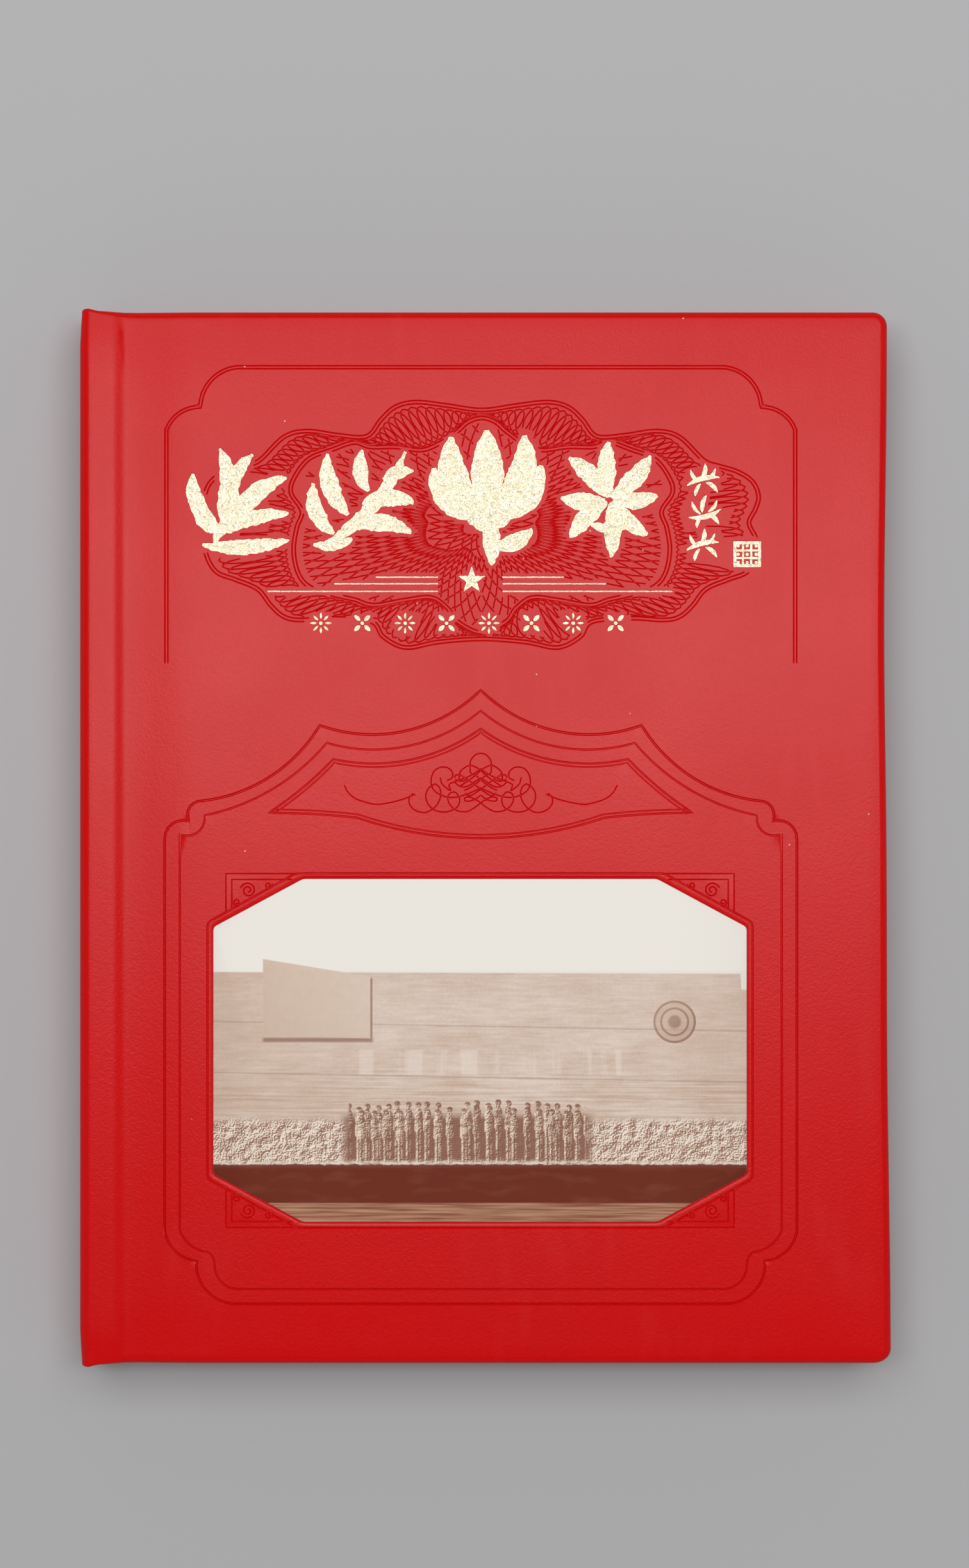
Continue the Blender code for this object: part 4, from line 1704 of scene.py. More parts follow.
@dataclass(frozen=True)
class SepiaPrint(Finish):
    """A printed card: a plain stone wall with a frieze under an empty sky, in sepia halftone."""

    wall: Vec = (0.75, 0.63, 0.54)
    wall_dark: Vec = (0.50, 0.31, 0.21)
    band: Vec = (0.150, 0.024, 0.010)
    paving: Vec = (0.25, 0.083, 0.045)
    ink: Vec = (0.21, 0.062, 0.028)

    def start(self, tree: NodeTree) -> Drawing:
        """The print is drawn in millimetres."""
        return Drawing(tree)

    def fill(self, g: Drawing, effects: Effects) -> None:
        """Fills in the shader."""
        wobble = g.line(g.noise(g.place, 0.6, 3.0), 0.9, -0.45)
        rough_y = g.plus(g.y, wobble)
        wall = self.stone(g)
        wall = self.slab(g, wall)
        wall = self.medallion(g, wall)
        wall = self.frieze(g, wall)
        top = g.line(g.x, -0.0033, -39.15)
        step = g.mul(g.over(g.x, 74.6, 0.15), -4.6)
        top = g.plus(top, step)
        colour = g.mix(g.under(g.y, top, 0.12), self.colour, wall)
        slab_sky = self.slab_mask(g)
        colour = g.mix(slab_sky, colour, wall)
        blotch = g.blotch((0.09, 0.3, 1), 4.0)
        band = g.mix(g.ramp(blotch, 0.52, 0.78), self.band, (0.19, 0.046, 0.025))
        colour = g.mix(g.under(rough_y, -94.6, 0.15), colour, band)
        lines = g.blotch((0.05, 1.6, 1), 3.0)
        paving = g.mix(g.ramp(lines, 0.35, 0.65), self.paving, (0.46, 0.25, 0.155))
        colour = g.mix(g.under(g.y, -105.8, 0.15), colour, paving)
        g.feed("Base Color", self.halftone(g, colour))
        g.feed("Specular IOR Level", 0.06)
        g.bump(g.noise(g.place, 1.8, 4.0), 0.12, 0.00008)

    def stone(self, g: Drawing) -> Socket:
        """The wall's mottled, faintly coursed stone."""
        cloud = g.blotch((0.05, 0.09, 1), 5.0, 0.6)
        streak = g.blotch((0.12, 1.1, 1), 4.0, turn=0.06)
        fine = g.noise(g.place, 1.4, 3.0, 0.7)
        tone = g.plus(g.mul(cloud, 0.5), g.mul(streak, 0.35))
        tone = g.line(fine, 0.25, tone)
        grain = g.blotch((0.03, 1.5, 1), 2.0, turn=-0.05)
        waves = g.mul(g.ramp(grain, 0.35, 0.65, -0.16, 0.06), g.under(g.y, -68.0, 5.0))
        tone = g.plus(tone, waves)
        wall = g.mix(g.ramp(tone, 0.34, 0.66), self.wall_dark, self.wall)
        wall = g.mix(0.25, wall, self.wall)
        off_middle = g.size(g.less(g.x, 8.0))
        patchy = g.blotch((0.035, 0.06, 1), 3.0)
        shade = g.mul(g.ramp(off_middle, 26, 78, 0.04, 0.55), patchy)
        wall = g.mix(shade, wall, self.wall_dark)
        seams = g.plus(self.course(g, -54.6), self.course(g, -69.4))
        wall = g.mix(g.mul(seams, 0.3), wall, self.ink)
        picks = g.over(g.blotch((0.19, 0.012, 1), 2.0), 0.52, 0.03)
        pale = g.mul(picks, g.along(-68.6, -61.4, 0.2))
        pale = g.mul(pale, g.across(-36.0, 40.0, 0.3))
        return g.mix(g.mul(pale, 0.4), wall, (0.84, 0.75, 0.67))

    def course(self, g: Drawing, level: float) -> Socket:
        """A thin, slightly sloping seam.

        Args:
            g: the print's short-hand.
            level: its y where x is 0.

        Returns:
            A mask.
        """
        line = g.line(g.x, -0.018, level)
        away = g.size(g.less(g.y, line))
        return g.ramp(away, 0.10, 0.35, 1.0, 0.0)

    def slab_mask(self, g: Drawing) -> Socket:
        """Where the slanted slab stands."""
        top = g.line(g.x, -0.164, -45.58)
        bottom = g.line(g.x, -0.025, -58.92)
        sides = g.across(-63.9, -32.8, 0.12)
        rows = g.mul(g.under(g.y, top, 0.12), g.over(g.y, bottom, 0.12))
        return g.mul(rows, sides)

    def slab(self, g: Drawing, wall: Socket) -> Socket:
        """The slanted slab, its shaded faces and the shadow under it.

        Args:
            g: the print's short-hand.
            wall: the colour behind.

        Returns:
            The colour with the slab drawn.
        """
        mask = self.slab_mask(g)
        tone = g.ramp(g.line(g.y, 0.5, g.x), -90, -50, 0.35, 0.0)
        mottled = g.mix(g.noise(g.place, 0.5, 4.0), (0.76, 0.63, 0.53), (0.68, 0.53, 0.42))
        face = g.mix(tone, mottled, (0.42, 0.24, 0.15))
        shade_y = g.along(-59.2, -57.9, 0.3)
        shade = g.mul(shade_y, g.across(-64.0, -32.0, 0.5))
        right = g.mul(g.across(-33.0, -32.2, 0.2), g.along(-58.2, -40.6, 0.3))
        shade = g.most(shade, right)
        wall = g.mix(g.mul(shade, 0.75), wall, self.ink)
        return g.mix(mask, wall, face)

    def medallion(self, g: Drawing, wall: Socket) -> Socket:
        """A plain round medallion of rings.

        Args:
            g: the print's short-hand.
            wall: the colour behind.

        Returns:
            The colour with the medallion drawn.
        """
        dx, dy = g.less(g.x, 55.4), g.less(g.y, -53.3)
        reach = g.reach(dx, dy)
        disc = g.under(reach, 6.2, 0.1)
        rings = g.plus(g.band(reach, 5.5, 6.2, 0.15), g.band(reach, 3.6, 4.2, 0.15))
        rings = g.plus(rings, g.mul(g.under(reach, 1.9, 0.4), 0.9))
        lit = g.plus(rings, g.ramp(g.less(dx, dy), -6, 6, -0.12, 0.22))
        wall = g.mix(g.mul(disc, 0.5), wall, (0.56, 0.38, 0.27))
        return g.mix(g.mul(g.mul(lit, disc), 0.62), wall, self.ink)

    def emboss(self, g: Drawing, scale: float, seed: float) -> Socket:
        """Relief lit from the upper left: the slope of a lumpy field, from -1 to 1.

        Args:
            g: the print's short-hand.
            scale: lumps in a millimetre.
            seed: picks the field.

        Returns:
            The slope.
        """
        levels = []
        for shift in (0.0, 0.24):
            moved = g.scaled(g.place, (1, 1, 1), location=(seed + shift, -shift, seed))
            warp = g.add("ShaderNodeTexNoise", {"Vector": moved, "Scale": 0.9, "Detail": 2.0})
            bent = g.add("ShaderNodeVectorMath", {0: moved, 1: warp.outputs["Color"]})
            lumps = g.add("ShaderNodeTexVoronoi", {"Vector": bent.outputs[0], "Scale": scale})
            lumps.feature = "SMOOTH_F1"
            fine = g.noise(moved, 2.1, 4.0, 0.6)
            height = g.line(lumps.outputs["Distance"], -0.9, fine)
            levels.append(height)
        return g.ramp(g.less(levels[0], levels[1]), -0.11, 0.11, -1.0, 1.0)

    def frieze(self, g: Drawing, wall: Socket) -> Socket:
        """A worn frieze: a tangle of low relief with a row of plain standing forms before it.

        Args:
            g: the print's short-hand.
            wall: the colour behind.

        Returns:
            The colour with the frieze drawn.
        """
        slope = self.emboss(g, 0.42, 0.0)
        relief = g.mix(g.ramp(slope, -0.3, 0.7), (0.50, 0.31, 0.20), (0.93, 0.84, 0.72))
        relief = g.mix(g.ramp(slope, -0.75, -0.05, 0.95, 0.0), relief, self.ink)
        crest = g.line(g.blotch((0.2, 0, 0), 3.0), 4.2, -84.0)
        zone = g.mul(g.under(g.y, crest, 1.0), g.over(g.y, -95.0, 0.1))
        wall = g.mix(g.mul(zone, 0.92), wall, relief)
        group = g.mul(g.across(-40.5, 31.0, 1.5), g.along(-94.0, -80.4, 1.2))
        wall = g.mix(g.mul(group, 0.95), wall, self.ink)
        for pitch, start, end, head, seed in (
            (2.9, -39.0, 29.5, -78.2, 3.0),
            (3.7, -38.0, 30.0, -80.0, 11.3),
        ):
            wall = self.forms(g, wall, pitch, (start, end), head, seed, slope)
        ledge = g.along(-95.0, -93.7, 0.35)
        uneven = g.blotch((0.5, 1.5, 1), 3.0)
        return g.mix(g.mul(ledge, g.ramp(uneven, 0.3, 0.6)), wall, (0.78, 0.66, 0.55))

    def forms(
        self, g: Drawing, wall: Socket, pitch: float, span: Pair,
        head: float, seed: float, slope: Socket,
    ) -> Socket:
        """A row of plain standing forms with round tops.

        Args:
            g: the graph.
            wall: the colour behind.
            pitch: distance between two forms.
            span: where the row starts and ends.
            head: height of the tops.
            seed: changes the order of heights.
            slope: the relief that roughens them.

        Returns:
            The colour with the row drawn.
        """
        cell = g.math("DIVIDE", g.plus(g.x, seed), pitch)
        number = g.math("FLOOR", cell)
        draws = g.add("ShaderNodeTexWhiteNoise", {"W": number}, noise_dimensions="1D")
        pick, hue = draws.outputs[0], g.add("ShaderNodeSeparateColor", {0: draws.outputs[1]})
        lean = g.line(hue.outputs[1], 0.9, -0.45)
        local = g.mul(g.less(g.math("FRACT", cell), 0.5), pitch)
        local = g.less(local, lean)
        centred = g.size(g.less(g.x, (span[0] + span[1]) / 2))
        crest = g.ramp(centred, 0, 34, 1.5, 0.0)
        top = g.line(pick, 1.5, g.plus(crest, head - 0.9))
        dy = g.less(g.y, top)
        reach = g.reach(local, dy)
        ball = g.under(reach, 0.9, 0.12)
        down = g.less(top, g.y)
        coat = g.ramp(down, 0.9, 2.2, 0.5, 1.16)
        waist = g.mul(g.band(down, 3.6, 4.4, 0.5), 0.22)
        hem = g.mul(g.over(down, 7.6, 0.3), 0.42)
        width = g.less(g.less(coat, waist), hem)
        side = g.size(local)
        body = g.mul(g.under(side, width, 0.14), g.over(down, 0.75, 0.15))
        body = g.mul(body, g.over(g.y, -94.5, 0.1))
        solid = g.most(ball, body)
        light = g.line(slope, -0.45, g.ramp(local, -1.0, 1.1))
        tone = g.line(hue.outputs[0], 0.4, g.less(light, 0.04))
        form = g.mix(tone, (0.88, 0.72, 0.56), (0.20, 0.062, 0.028))
        eyes = g.mul(g.band(side, 0.16, 0.40, 0.06), g.band(dy, -0.14, 0.06, 0.06))
        mouth = g.mul(g.under(side, 0.24, 0.06), g.band(dy, -0.56, -0.46, 0.06))
        face = g.mul(g.most(eyes, mouth), 0.5)
        form = g.mix(face, form, self.ink)
        cap = g.mul(g.over(dy, 0.15, 0.12), g.under(reach, 1.0, 0.1))
        form = g.mix(g.mul(cap, 0.8), form, self.ink)
        legs = g.mul(g.under(side, 0.17, 0.1), g.over(down, 7.0, 0.4))
        belt = g.mul(g.band(down, 3.9, 4.3, 0.12), 0.6)
        form = g.mix(g.most(legs, belt), form, self.ink)
        present = g.mul(g.across(span[0], span[1], 0.3), g.over(pick, 0.12, 0.01))
        return g.mix(g.mul(solid, present), wall, form)

    def halftone(self, g: Drawing, colour: Socket) -> Socket:
        """The print's fine screen of dots.

        Args:
            g: the print's short-hand.
            colour: the colour under the dots.

        Returns:
            The screened colour.
        """
        turned = g.scaled(g.place, (1, 1, 1), rotation=(0, 0, 0.785))
        parts = g.parts(turned)
        waves = [g.math("SINE", g.mul(parts.outputs[i], math.tau / 0.42)) for i in (0, 1)]
        dots = g.ramp(g.mul(waves[0], waves[1]), -0.6, 0.6)
        amount = g.ramp(g.y, -96.0, -93.5, 0.01, 0.13)
        amount = g.mul(amount, g.under(g.y, -38.6, 0.3))
        light = g.mix(g.mul(dots, amount), colour, (0.96, 0.90, 0.84))
        dark = g.mul(g.less(1.0, dots), amount)
        return g.mix(dark, light, self.ink)


# ---- sub-assemblies


@dataclass
class Case:
    """The case: leatherette, foam and print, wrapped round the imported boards."""

    width: float
    height: float
    thickness: float
    fold: float = 0.6
    inner_fold: float = 0.12
    foam_start: float = 13.9
    foam_gap: float = 0.06
    foam_floor: float = 3.05

    def foam_wrap(self, side: Side) -> Wrap:
        """The wrap that the foam lies under."""
        return Wrap(self.width, self.height, self.thickness, side)

    def build_sheet(
        self, name: str, sheet: WrappedSheet, material: Material
    ) -> tuple[Object, "Panel"]:
        """A closed sheet of leatherette: outer and inner surface, joined at every free edge.

        Args:
            name: the piece's name.
            sheet: what to build.
            material: its material.

        Returns:
            The object and its outer panel.
        """
        wrap = sheet.wrap
        maker = MeshMaker()
        skins = []
        for inner in (False, True):
            rims = self.rims(wrap, inner)
            panel = sheet.panel(rims[0][0], pressed=not inner and bool(sheet.lines))
            ids = maker.add(panel.placed(rims[0][1]))
            for triangle in panel.triangles:
                maker.faces.append(tuple(ids[i] for i in triangle))
            rows = [[ids[i] for i in panel.ring_ids]]
            for inset, drop in rims[1:]:
                rows.append(maker.add(sheet.ring(inset, drop)))
                maker.strip(rows[-2], rows[-1])
            seam = [ids[i] for i in panel.seam_ids]
            hole = [ids[i] for i in panel.hole_ids]
            skins.append((rows, seam, hole, panel))
        (outer_rows, outer_seam, outer_hole, outer_panel), (rows, seam, hole, _) = skins
        maker.strip(outer_rows[-1], rows[-1])
        maker.strip(outer_seam, seam)
        for end in (0, -1):
            maker.strip([r[end] for r in outer_rows], [r[end] for r in rows])
        if hole:
            maker.strip(outer_hole, hole, True)
        made = maker.finish(name, material, 17)
        LOG.info("%s: %d triangles", name, sum(len(p.vertices) - 2 for p in made.data.polygons))
        return made, outer_panel

    def rims(self, wrap: Wrap, inner: bool) -> list[tuple[OfU, OfU]]:
        """The rings of one face of the sheet, from the top panel to the turned-in edge.

        Args:
            wrap: how the sheet is wrapped.
            inner: whether it is the inner face.

        Returns:
            Each ring's inset and depth, as functions of u.
        """
        bend = self.inner_fold if inner else self.fold

        def skin(u: float) -> float:
            """How far this face lies under the outer one."""
            return wrap.skin_at(u) if inner else 0.0

        def rounded(u: float, share: float) -> float:
            """Inset or depth on the rounded edge, at this share of its radius."""
            radius = wrap.rounding_at(u)
            return radius - (radius - skin(u)) * share

        rings = []
        for degrees in (0, 12, 24, 36, 48, 60, 75, 90):
            s, c = math.sin(math.radians(degrees)), math.cos(math.radians(degrees))
            rings.append((lambda u, s=s: rounded(u, s), lambda u, c=c: rounded(u, c)))
        for degrees in (0, 30, 60, 90):
            s, c = 1 - math.sin(math.radians(degrees)), 1 - math.cos(math.radians(degrees))
            rings.append((
                lambda u, c=c: skin(u) + bend * c,
                lambda u, s=s: wrap.depth_at(u) - skin(u) - bend * s,
            ))
        for share in (0.4, 1.0):
            rings.append((
                lambda u, share=share: wrap.turn_in * share,
                lambda u: wrap.depth_at(u) - skin(u),
            ))
        return rings

    def build_foam(self, name: str, side: Side, material: Material) -> Object:
        """The padding: a closed body that fills the leatherette down to the board.

        Args:
            name: the piece's name.
            side: the cover it lies in.
            material: its material.

        Returns:
            The object.
        """
        wrap = self.foam_wrap(side)
        sheet = WrappedSheet(wrap)
        gap, floor = self.foam_gap, self.foam_floor
        maker = MeshMaker()
        radius = wrap.rounding - wrap.skin - gap
        rows = []
        for degrees in (0, 20, 40, 60):
            angle = math.radians(degrees)
            inset = wrap.rounding - radius * math.sin(angle)
            drop = wrap.rounding - radius * math.cos(angle)
            rows.append(self.foam_ring(sheet, inset, min(drop, floor - 0.2)))
        rows.append(self.foam_ring(sheet, wrap.skin + gap + 0.05, floor))
        ids = [maker.add(row) for row in rows]
        for a, b in zip(ids[:-1], ids[1:]):
            maker.strip(a, b, True)
        maker.faces.append(tuple(ids[-1]))
        centre = self.foam_top(maker, wrap, rows[0], ids[0])
        made = maker.finish(name, material)
        LOG.info("%s: crown %.1f mm", name, centre)
        return made

    def foam_ring(self, sheet: WrappedSheet, inset: float, drop: float) -> list[Vec]:
        """One closed ring of the foam.

        Args:
            sheet: the wrapped sheet.
            inset: how far in from the edge.
            drop: how far under the surface.

        Returns:
            The points.
        """
        wrap = sheet.wrap
        rows = sheet.outline(lambda u: inset)
        keep = [(u, v) for u, v in rows if wrap.s_of(u) > self.foam_start + 6]
        edge = wrap.u_of(self.foam_start + inset - wrap.skin - wrap.width / 2)
        keep = [(edge, keep[0][1]), *keep, (edge, keep[-1][1])]
        return [wrap.place(u, v, drop - wrap.crown(u, v)) for u, v in keep]

    def foam_top(self, maker: MeshMaker, wrap: Wrap, ring: list[Vec], ids: list[int]) -> float:
        """Closes the foam's top with one more ring and a face inside it.

        Args:
            maker: what it is added to.
            wrap: how the sheet is wrapped.
            ring: the points it starts from.
            ids: their numbers.

        Returns:
            How far the middle stands over the edge.
        """
        centre = np.array(ring).mean(0)
        previous = ids
        for share in (0.94, 0.86, 0.7):
            rows = []
            for x, y, _ in ring:
                px, py = centre[0] + (x - centre[0]) * share, centre[1] + (y - centre[1]) * share
                u = wrap.u_of(px / MM)
                drop = wrap.skin + self.foam_gap - wrap.crown(u, py / MM)
                rows.append(wrap.place(u, py / MM, drop))
            row_ids = maker.add(rows)
            maker.strip(previous, row_ids, True)
            previous = row_ids
        maker.faces.append(tuple(previous))
        return wrap.puff

    def build_foil(self, panel: Panel, work: FoilWork, material: Material) -> list[Object]:
        """A thin closed piece of foil in each group's hollows.

        Args:
            panel: the front sheet's outer panel, whose triangles the foil follows.
            work: the foil shapes.
            material: the foil's material.

        Returns:
            One object for each group.
        """
        wrap = panel.sheet.wrap
        shift = np.array([wrap.u_of(0.0), 0])
        middles = panel.points[panel.triangles].mean(1) - shift
        made = []
        for group in dict.fromkeys(shape.group for shape in work.shapes):
            taken = np.zeros(len(middles), bool)
            for shape in work.shapes:
                if shape.group != group:
                    continue
                near = near_box(middles, shape.foil, 0)
                if len(near):
                    taken[near] |= inside(middles[near], shape.foil)
            made.append(self.foil_piece(group, panel, panel.triangles[taken], material))
        return made

    def foil_piece(self, name: str, panel: Panel, triangles: Rows, material: Material) -> Object:
        """A closed sheet of foil over these triangles of the panel.

        Args:
            name: the piece's name.
            panel: the panel under it.
            triangles: those it covers.
            material: its material.

        Returns:
            The object.
        """
        wrap = panel.sheet.wrap
        used = sorted(set(triangles.ravel().tolist()))
        number = {old: new for new, old in enumerate(used)}
        maker = MeshMaker()
        layers = []
        for lift in (0.05, 0.012):
            rows = []
            for i in used:
                u, v = panel.points[i]
                rows.append(wrap.place(u, v, -panel.heights[i] - lift - wrap.crown(u, v)))
            layers.append(maker.add(rows))
        edges = {}
        for a, b, c in triangles.tolist():
            maker.faces.append(tuple(layers[0][number[i]] for i in (a, b, c)))
            maker.faces.append(tuple(layers[1][number[i]] for i in (c, b, a)))
            for p, q in ((a, b), (b, c), (c, a)):
                if (q, p) in edges:
                    del edges[(q, p)]
                else:
                    edges[(p, q)] = True
        for p, q in edges:
            p, q = number[p], number[q]
            maker.faces.append((layers[0][q], layers[0][p], layers[1][p], layers[1][q]))
        made = maker.finish(name, material, 60)
        LOG.info("%s: %d triangles", name, 2 * len(triangles))
        return made

    def build_print(self, window: Rows, material: Material) -> Object:
        """The printed card in the window.

        Args:
            window: the window's outline.
            material: its material.

        Returns:
            The object.
        """
        maker = MeshMaker()
        centre = window.mean(0)
        rows = []
        for shrink, z in ((0.06, -0.88), (0.06, -0.52), (0.12, -0.46)):
            outline = centre + (window - centre) * (1 - shrink / 60)
            rows.append(
                maker.add([(x * MM, y * MM, (self.thickness + z) * MM) for x, y in outline])
            )
        maker.strip(rows[0], rows[1], True)
        maker.strip(rows[1], rows[2], True)
        maker.faces.append(tuple(rows[2]))
        maker.faces.append(tuple(reversed(rows[0])))
        return maker.finish("sepia_window_print", material)


def start_tree(name: str, sockets: dict[str, str]) -> tuple[Graph, Node]:
    """Starts a geometry node tree.

    Args:
        name: the tree's name.
        sockets: the kind of each named input.

    Returns:
        A Graph on the tree, and its input node.
    """
    tree = bpy.data.node_groups.new(name, "GeometryNodeTree")
    tree.is_modifier = True
    for label, kind in sockets.items():
        tree.interface.new_socket(name=label, in_out="INPUT", socket_type=f"NodeSocket{kind}")
    tree.interface.new_socket(name="Geometry", in_out="OUTPUT", socket_type="NodeSocketGeometry")
    return Graph(tree), tree.nodes.new("NodeGroupInput")


def finish_tree(
    g: Graph, start: Node, count: str, offset: Socket, shape: Node, material: Material
) -> GeometryNodeTree:
    """Ends a geometry node tree with copies of a shape along a line.

    Args:
        g: the graph.
        start: its input node.
        count: the name of the input that holds the number of copies.
        offset: the step from one copy to the next.
        shape: the node that makes the shape.
        material: the copies' material.

    Returns:
        The tree.
    """
    rows = {"Count": start.outputs[count], "Start Location": start.outputs["Start"]}
    line = g.add("GeometryNodeMeshLine", rows | {"Offset": offset})
    rows = {"Points": line.outputs[0], "Instance": shape.outputs[0]}
    copies = g.add("GeometryNodeInstanceOnPoints", rows)
    real = g.add("GeometryNodeRealizeInstances", {0: copies.outputs[0]})
    last = g.add("GeometryNodeSetMaterial", {"Geometry": real.outputs[0]})
    last.inputs["Material"].default_value = material
    g.tree.links.new(last.outputs[0], g.tree.nodes.new("NodeGroupOutput").inputs[0])
    return g.tree


@dataclass
class Leaves:
    """The stock leaves' pockets and linen."""

    count: int = 8
    rows: int = 7
    film: float = 0.00008
    strip_gap: float = 0.0014
    web: float = 0.0002
    grip: float = 0.00062

    def strip_tree(self, material: Material) -> GeometryNodeTree:
        """A node tree that lays clear strips in a column."""
        sockets = {"Width": "Float", "Height": "Float", "Film": "Float"}
        sockets |= {"Rows": "Int", "Pitch": "Float", "Start": "Vector"}
        g, start = start_tree("pocket_strips", sockets)
        size = g.add(
            "ShaderNodeCombineXYZ",
            {0: start.outputs["Width"], 1: start.outputs["Height"], 2: start.outputs["Film"]},
        )
        strip = g.add("GeometryNodeMeshCube", {"Size": size.outputs[0]})
        for axis, count in (("Vertices X", 6), ("Vertices Y", 3), ("Vertices Z", 2)):
            strip.inputs[axis].default_value = count
        offset = g.add("ShaderNodeCombineXYZ", {1: start.outputs["Pitch"]})
        return finish_tree(g, start, "Rows", offset.outputs[0], strip, material)

    def build_pockets(self, node: str, tree: GeometryNodeTree, material: Material) -> Object:
        """The clear strips of one page, in the place of a packed sheet.

        Args:
            node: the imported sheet.
            tree: the node tree that makes it.
            material: its material.

        Returns:
            The object.
        """
        low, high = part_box(node)
        pitch = (high.y - low.y) / self.rows
        values = {
            "Width": high.x - low.x, "Height": pitch - self.strip_gap, "Film": self.film,
            "Rows": self.rows, "Pitch": pitch,
            "Start": Vector(((low.x + high.x) / 2, low.y + pitch / 2, (low.z + high.z) / 2)),
        }
        return run_tree(f"{node}_strips", tree, values, material, 30)

    def build_linen(self, number: int, material: Material) -> Object:
        """The linen strip that holds one leaf.

        Args:
            number: the leaf's number.
            material: its material.

        Returns:
            The object.
        """
        low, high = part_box(f"leaf_{number}_hinge_linen")
        card_low, card_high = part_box(f"leaf_{number}_card")
        middle = (card_low.z + card_high.z) / 2
        start, root, end = low.x, card_low.x - 0.0005, high.x
        web, grip = self.web, self.grip
        maker = MeshMaker()
        stations = [start + (root - start) * i / 14 for i in range(15)]
        tail = low.y
        rows_y = [tail + (high.y - tail) * i / 12 for i in range(13)]
        upper = [(x, web) for x in stations] + [(root + 0.0004, grip), (end, grip)]
        fork = [(end, grip - 0.0001), (card_low.x - 0.0001, grip - 0.0001)]
        profile = upper + fork + [(x, -z) for x, z in reversed(upper + fork)]
        rings = [maker.add([(x, y, middle + z) for x, z in profile]) for y in rows_y]
        for a, b in zip(rings[:-1], rings[1:]):
            maker.strip(a, b, True)
        maker.faces.append(tuple(rings[0]))
        maker.faces.append(tuple(rings[-1]))
        return maker.finish(f"leaf_{number}_linen", material)


def run_tree(
    name: str, tree: GeometryNodeTree, values: dict, material: Material, angle: float = 40,
) -> Object:
    """Runs a geometry node tree and returns its result as a plain object.

    Args:
        name: the piece's name.
        tree: the tree.
        values: its inputs by name.
        material: the piece's material.
        angle: the angle in degrees over which an edge is sharp.

    Returns:
        The object.
    """
    host = put(f"{name}_host", bpy.data.meshes.new(f"{name}_host"))
    modifier = host.modifiers.new("make", "NODES")
    modifier.node_group = tree
    for item in tree.interface.items_tree:
        if item.in_out == "INPUT" and item.name in values:
            value = values[item.name]
            modifier[item.identifier] = list(value) if isinstance(value, Vector) else value
    host.update_tag()
    bpy.context.view_layer.update()
    graph = bpy.context.evaluated_depsgraph_get()
    mesh = bpy.data.meshes.new_from_object(host.evaluated_get(graph))
    mesh.name = name
    bpy.data.objects.remove(host, do_unlink=True)
    return dress(name, mesh, material, angle)


@dataclass
class Binding:
    """The headbands and the sewing of the back."""

    turns: int = 17
    stitches: int = 28
    stitch_thread: float = 0.00035
    stitch_length: float = 0.0034

    def coil_tree(self, material: Material) -> GeometryNodeTree:
        """A node tree that lays a row of thread turns along a line."""
        sockets = {"Turns": "Int", "Thread": "Float", "Length": "Float"}
        sockets |= {"Start": "Vector", "Offset": "Vector", "Lean": "Vector"}
        g, start = start_tree("thread_turns", sockets)
        bead = g.add("GeometryNodeMeshIcoSphere", {"Subdivisions": 2})
        g.tree.links.new(start.outputs["Thread"], bead.inputs["Radius"])
        stretch = g.math("DIVIDE", start.outputs["Length"], start.outputs["Thread"])
        shape = g.add("ShaderNodeCombineXYZ", {0: stretch, 1: 1.0, 2: 1.0})
        turn = g.add(
            "GeometryNodeTransform", {"Geometry": bead.outputs[0], "Scale": shape.outputs[0]}
        )
        g.tree.links.new(start.outputs["Lean"], turn.inputs["Rotation"])
        return finish_tree(g, start, "Turns", start.outputs["Offset"], turn, material)

    def build_band(self, node: str, tree: GeometryNodeTree, material: Material) -> Object:
        """The thread turns wound over one headband.

        Args:
            node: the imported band.
            tree: the node tree that makes it.
            material: its material.

        Returns:
            The object.
        """
        low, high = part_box(node)
        pitch = (high.z - low.z) / self.turns
        values = {
            "Turns": self.turns, "Thread": pitch * 0.56, "Length": (high.x - low.x) / 2,
            "Start": Vector(((low.x + high.x) / 2, (low.y + high.y) / 2, low.z + pitch / 2)),
            "Offset": Vector((0, 0, pitch)), "Lean": Vector((0, 0.25, 0)),
        }
        return run_tree(f"{node}_threads", tree, values, material, 180)

    def build_sewing(self, tree: GeometryNodeTree, material: Material) -> Object:
        """Stitches down the inner face of the sewn back.

        Args:
            tree: the node tree that makes it.
            material: its material.

        Returns:
            The object.
        """
        low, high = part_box("binding_back")
        pitch = (high.y - low.y - 0.02) / (self.stitches - 1)
        values = {
            "Turns": self.stitches, "Thread": self.stitch_thread, "Length": self.stitch_length,
            "Start": Vector((high.x, low.y + 0.01, (low.z + high.z) / 2)),
            "Offset": Vector((0, pitch, 0)), "Lean": Vector((0, 0, math.pi / 2)),
        }
        return run_tree("sewing_stitches", tree, values, material, 180)


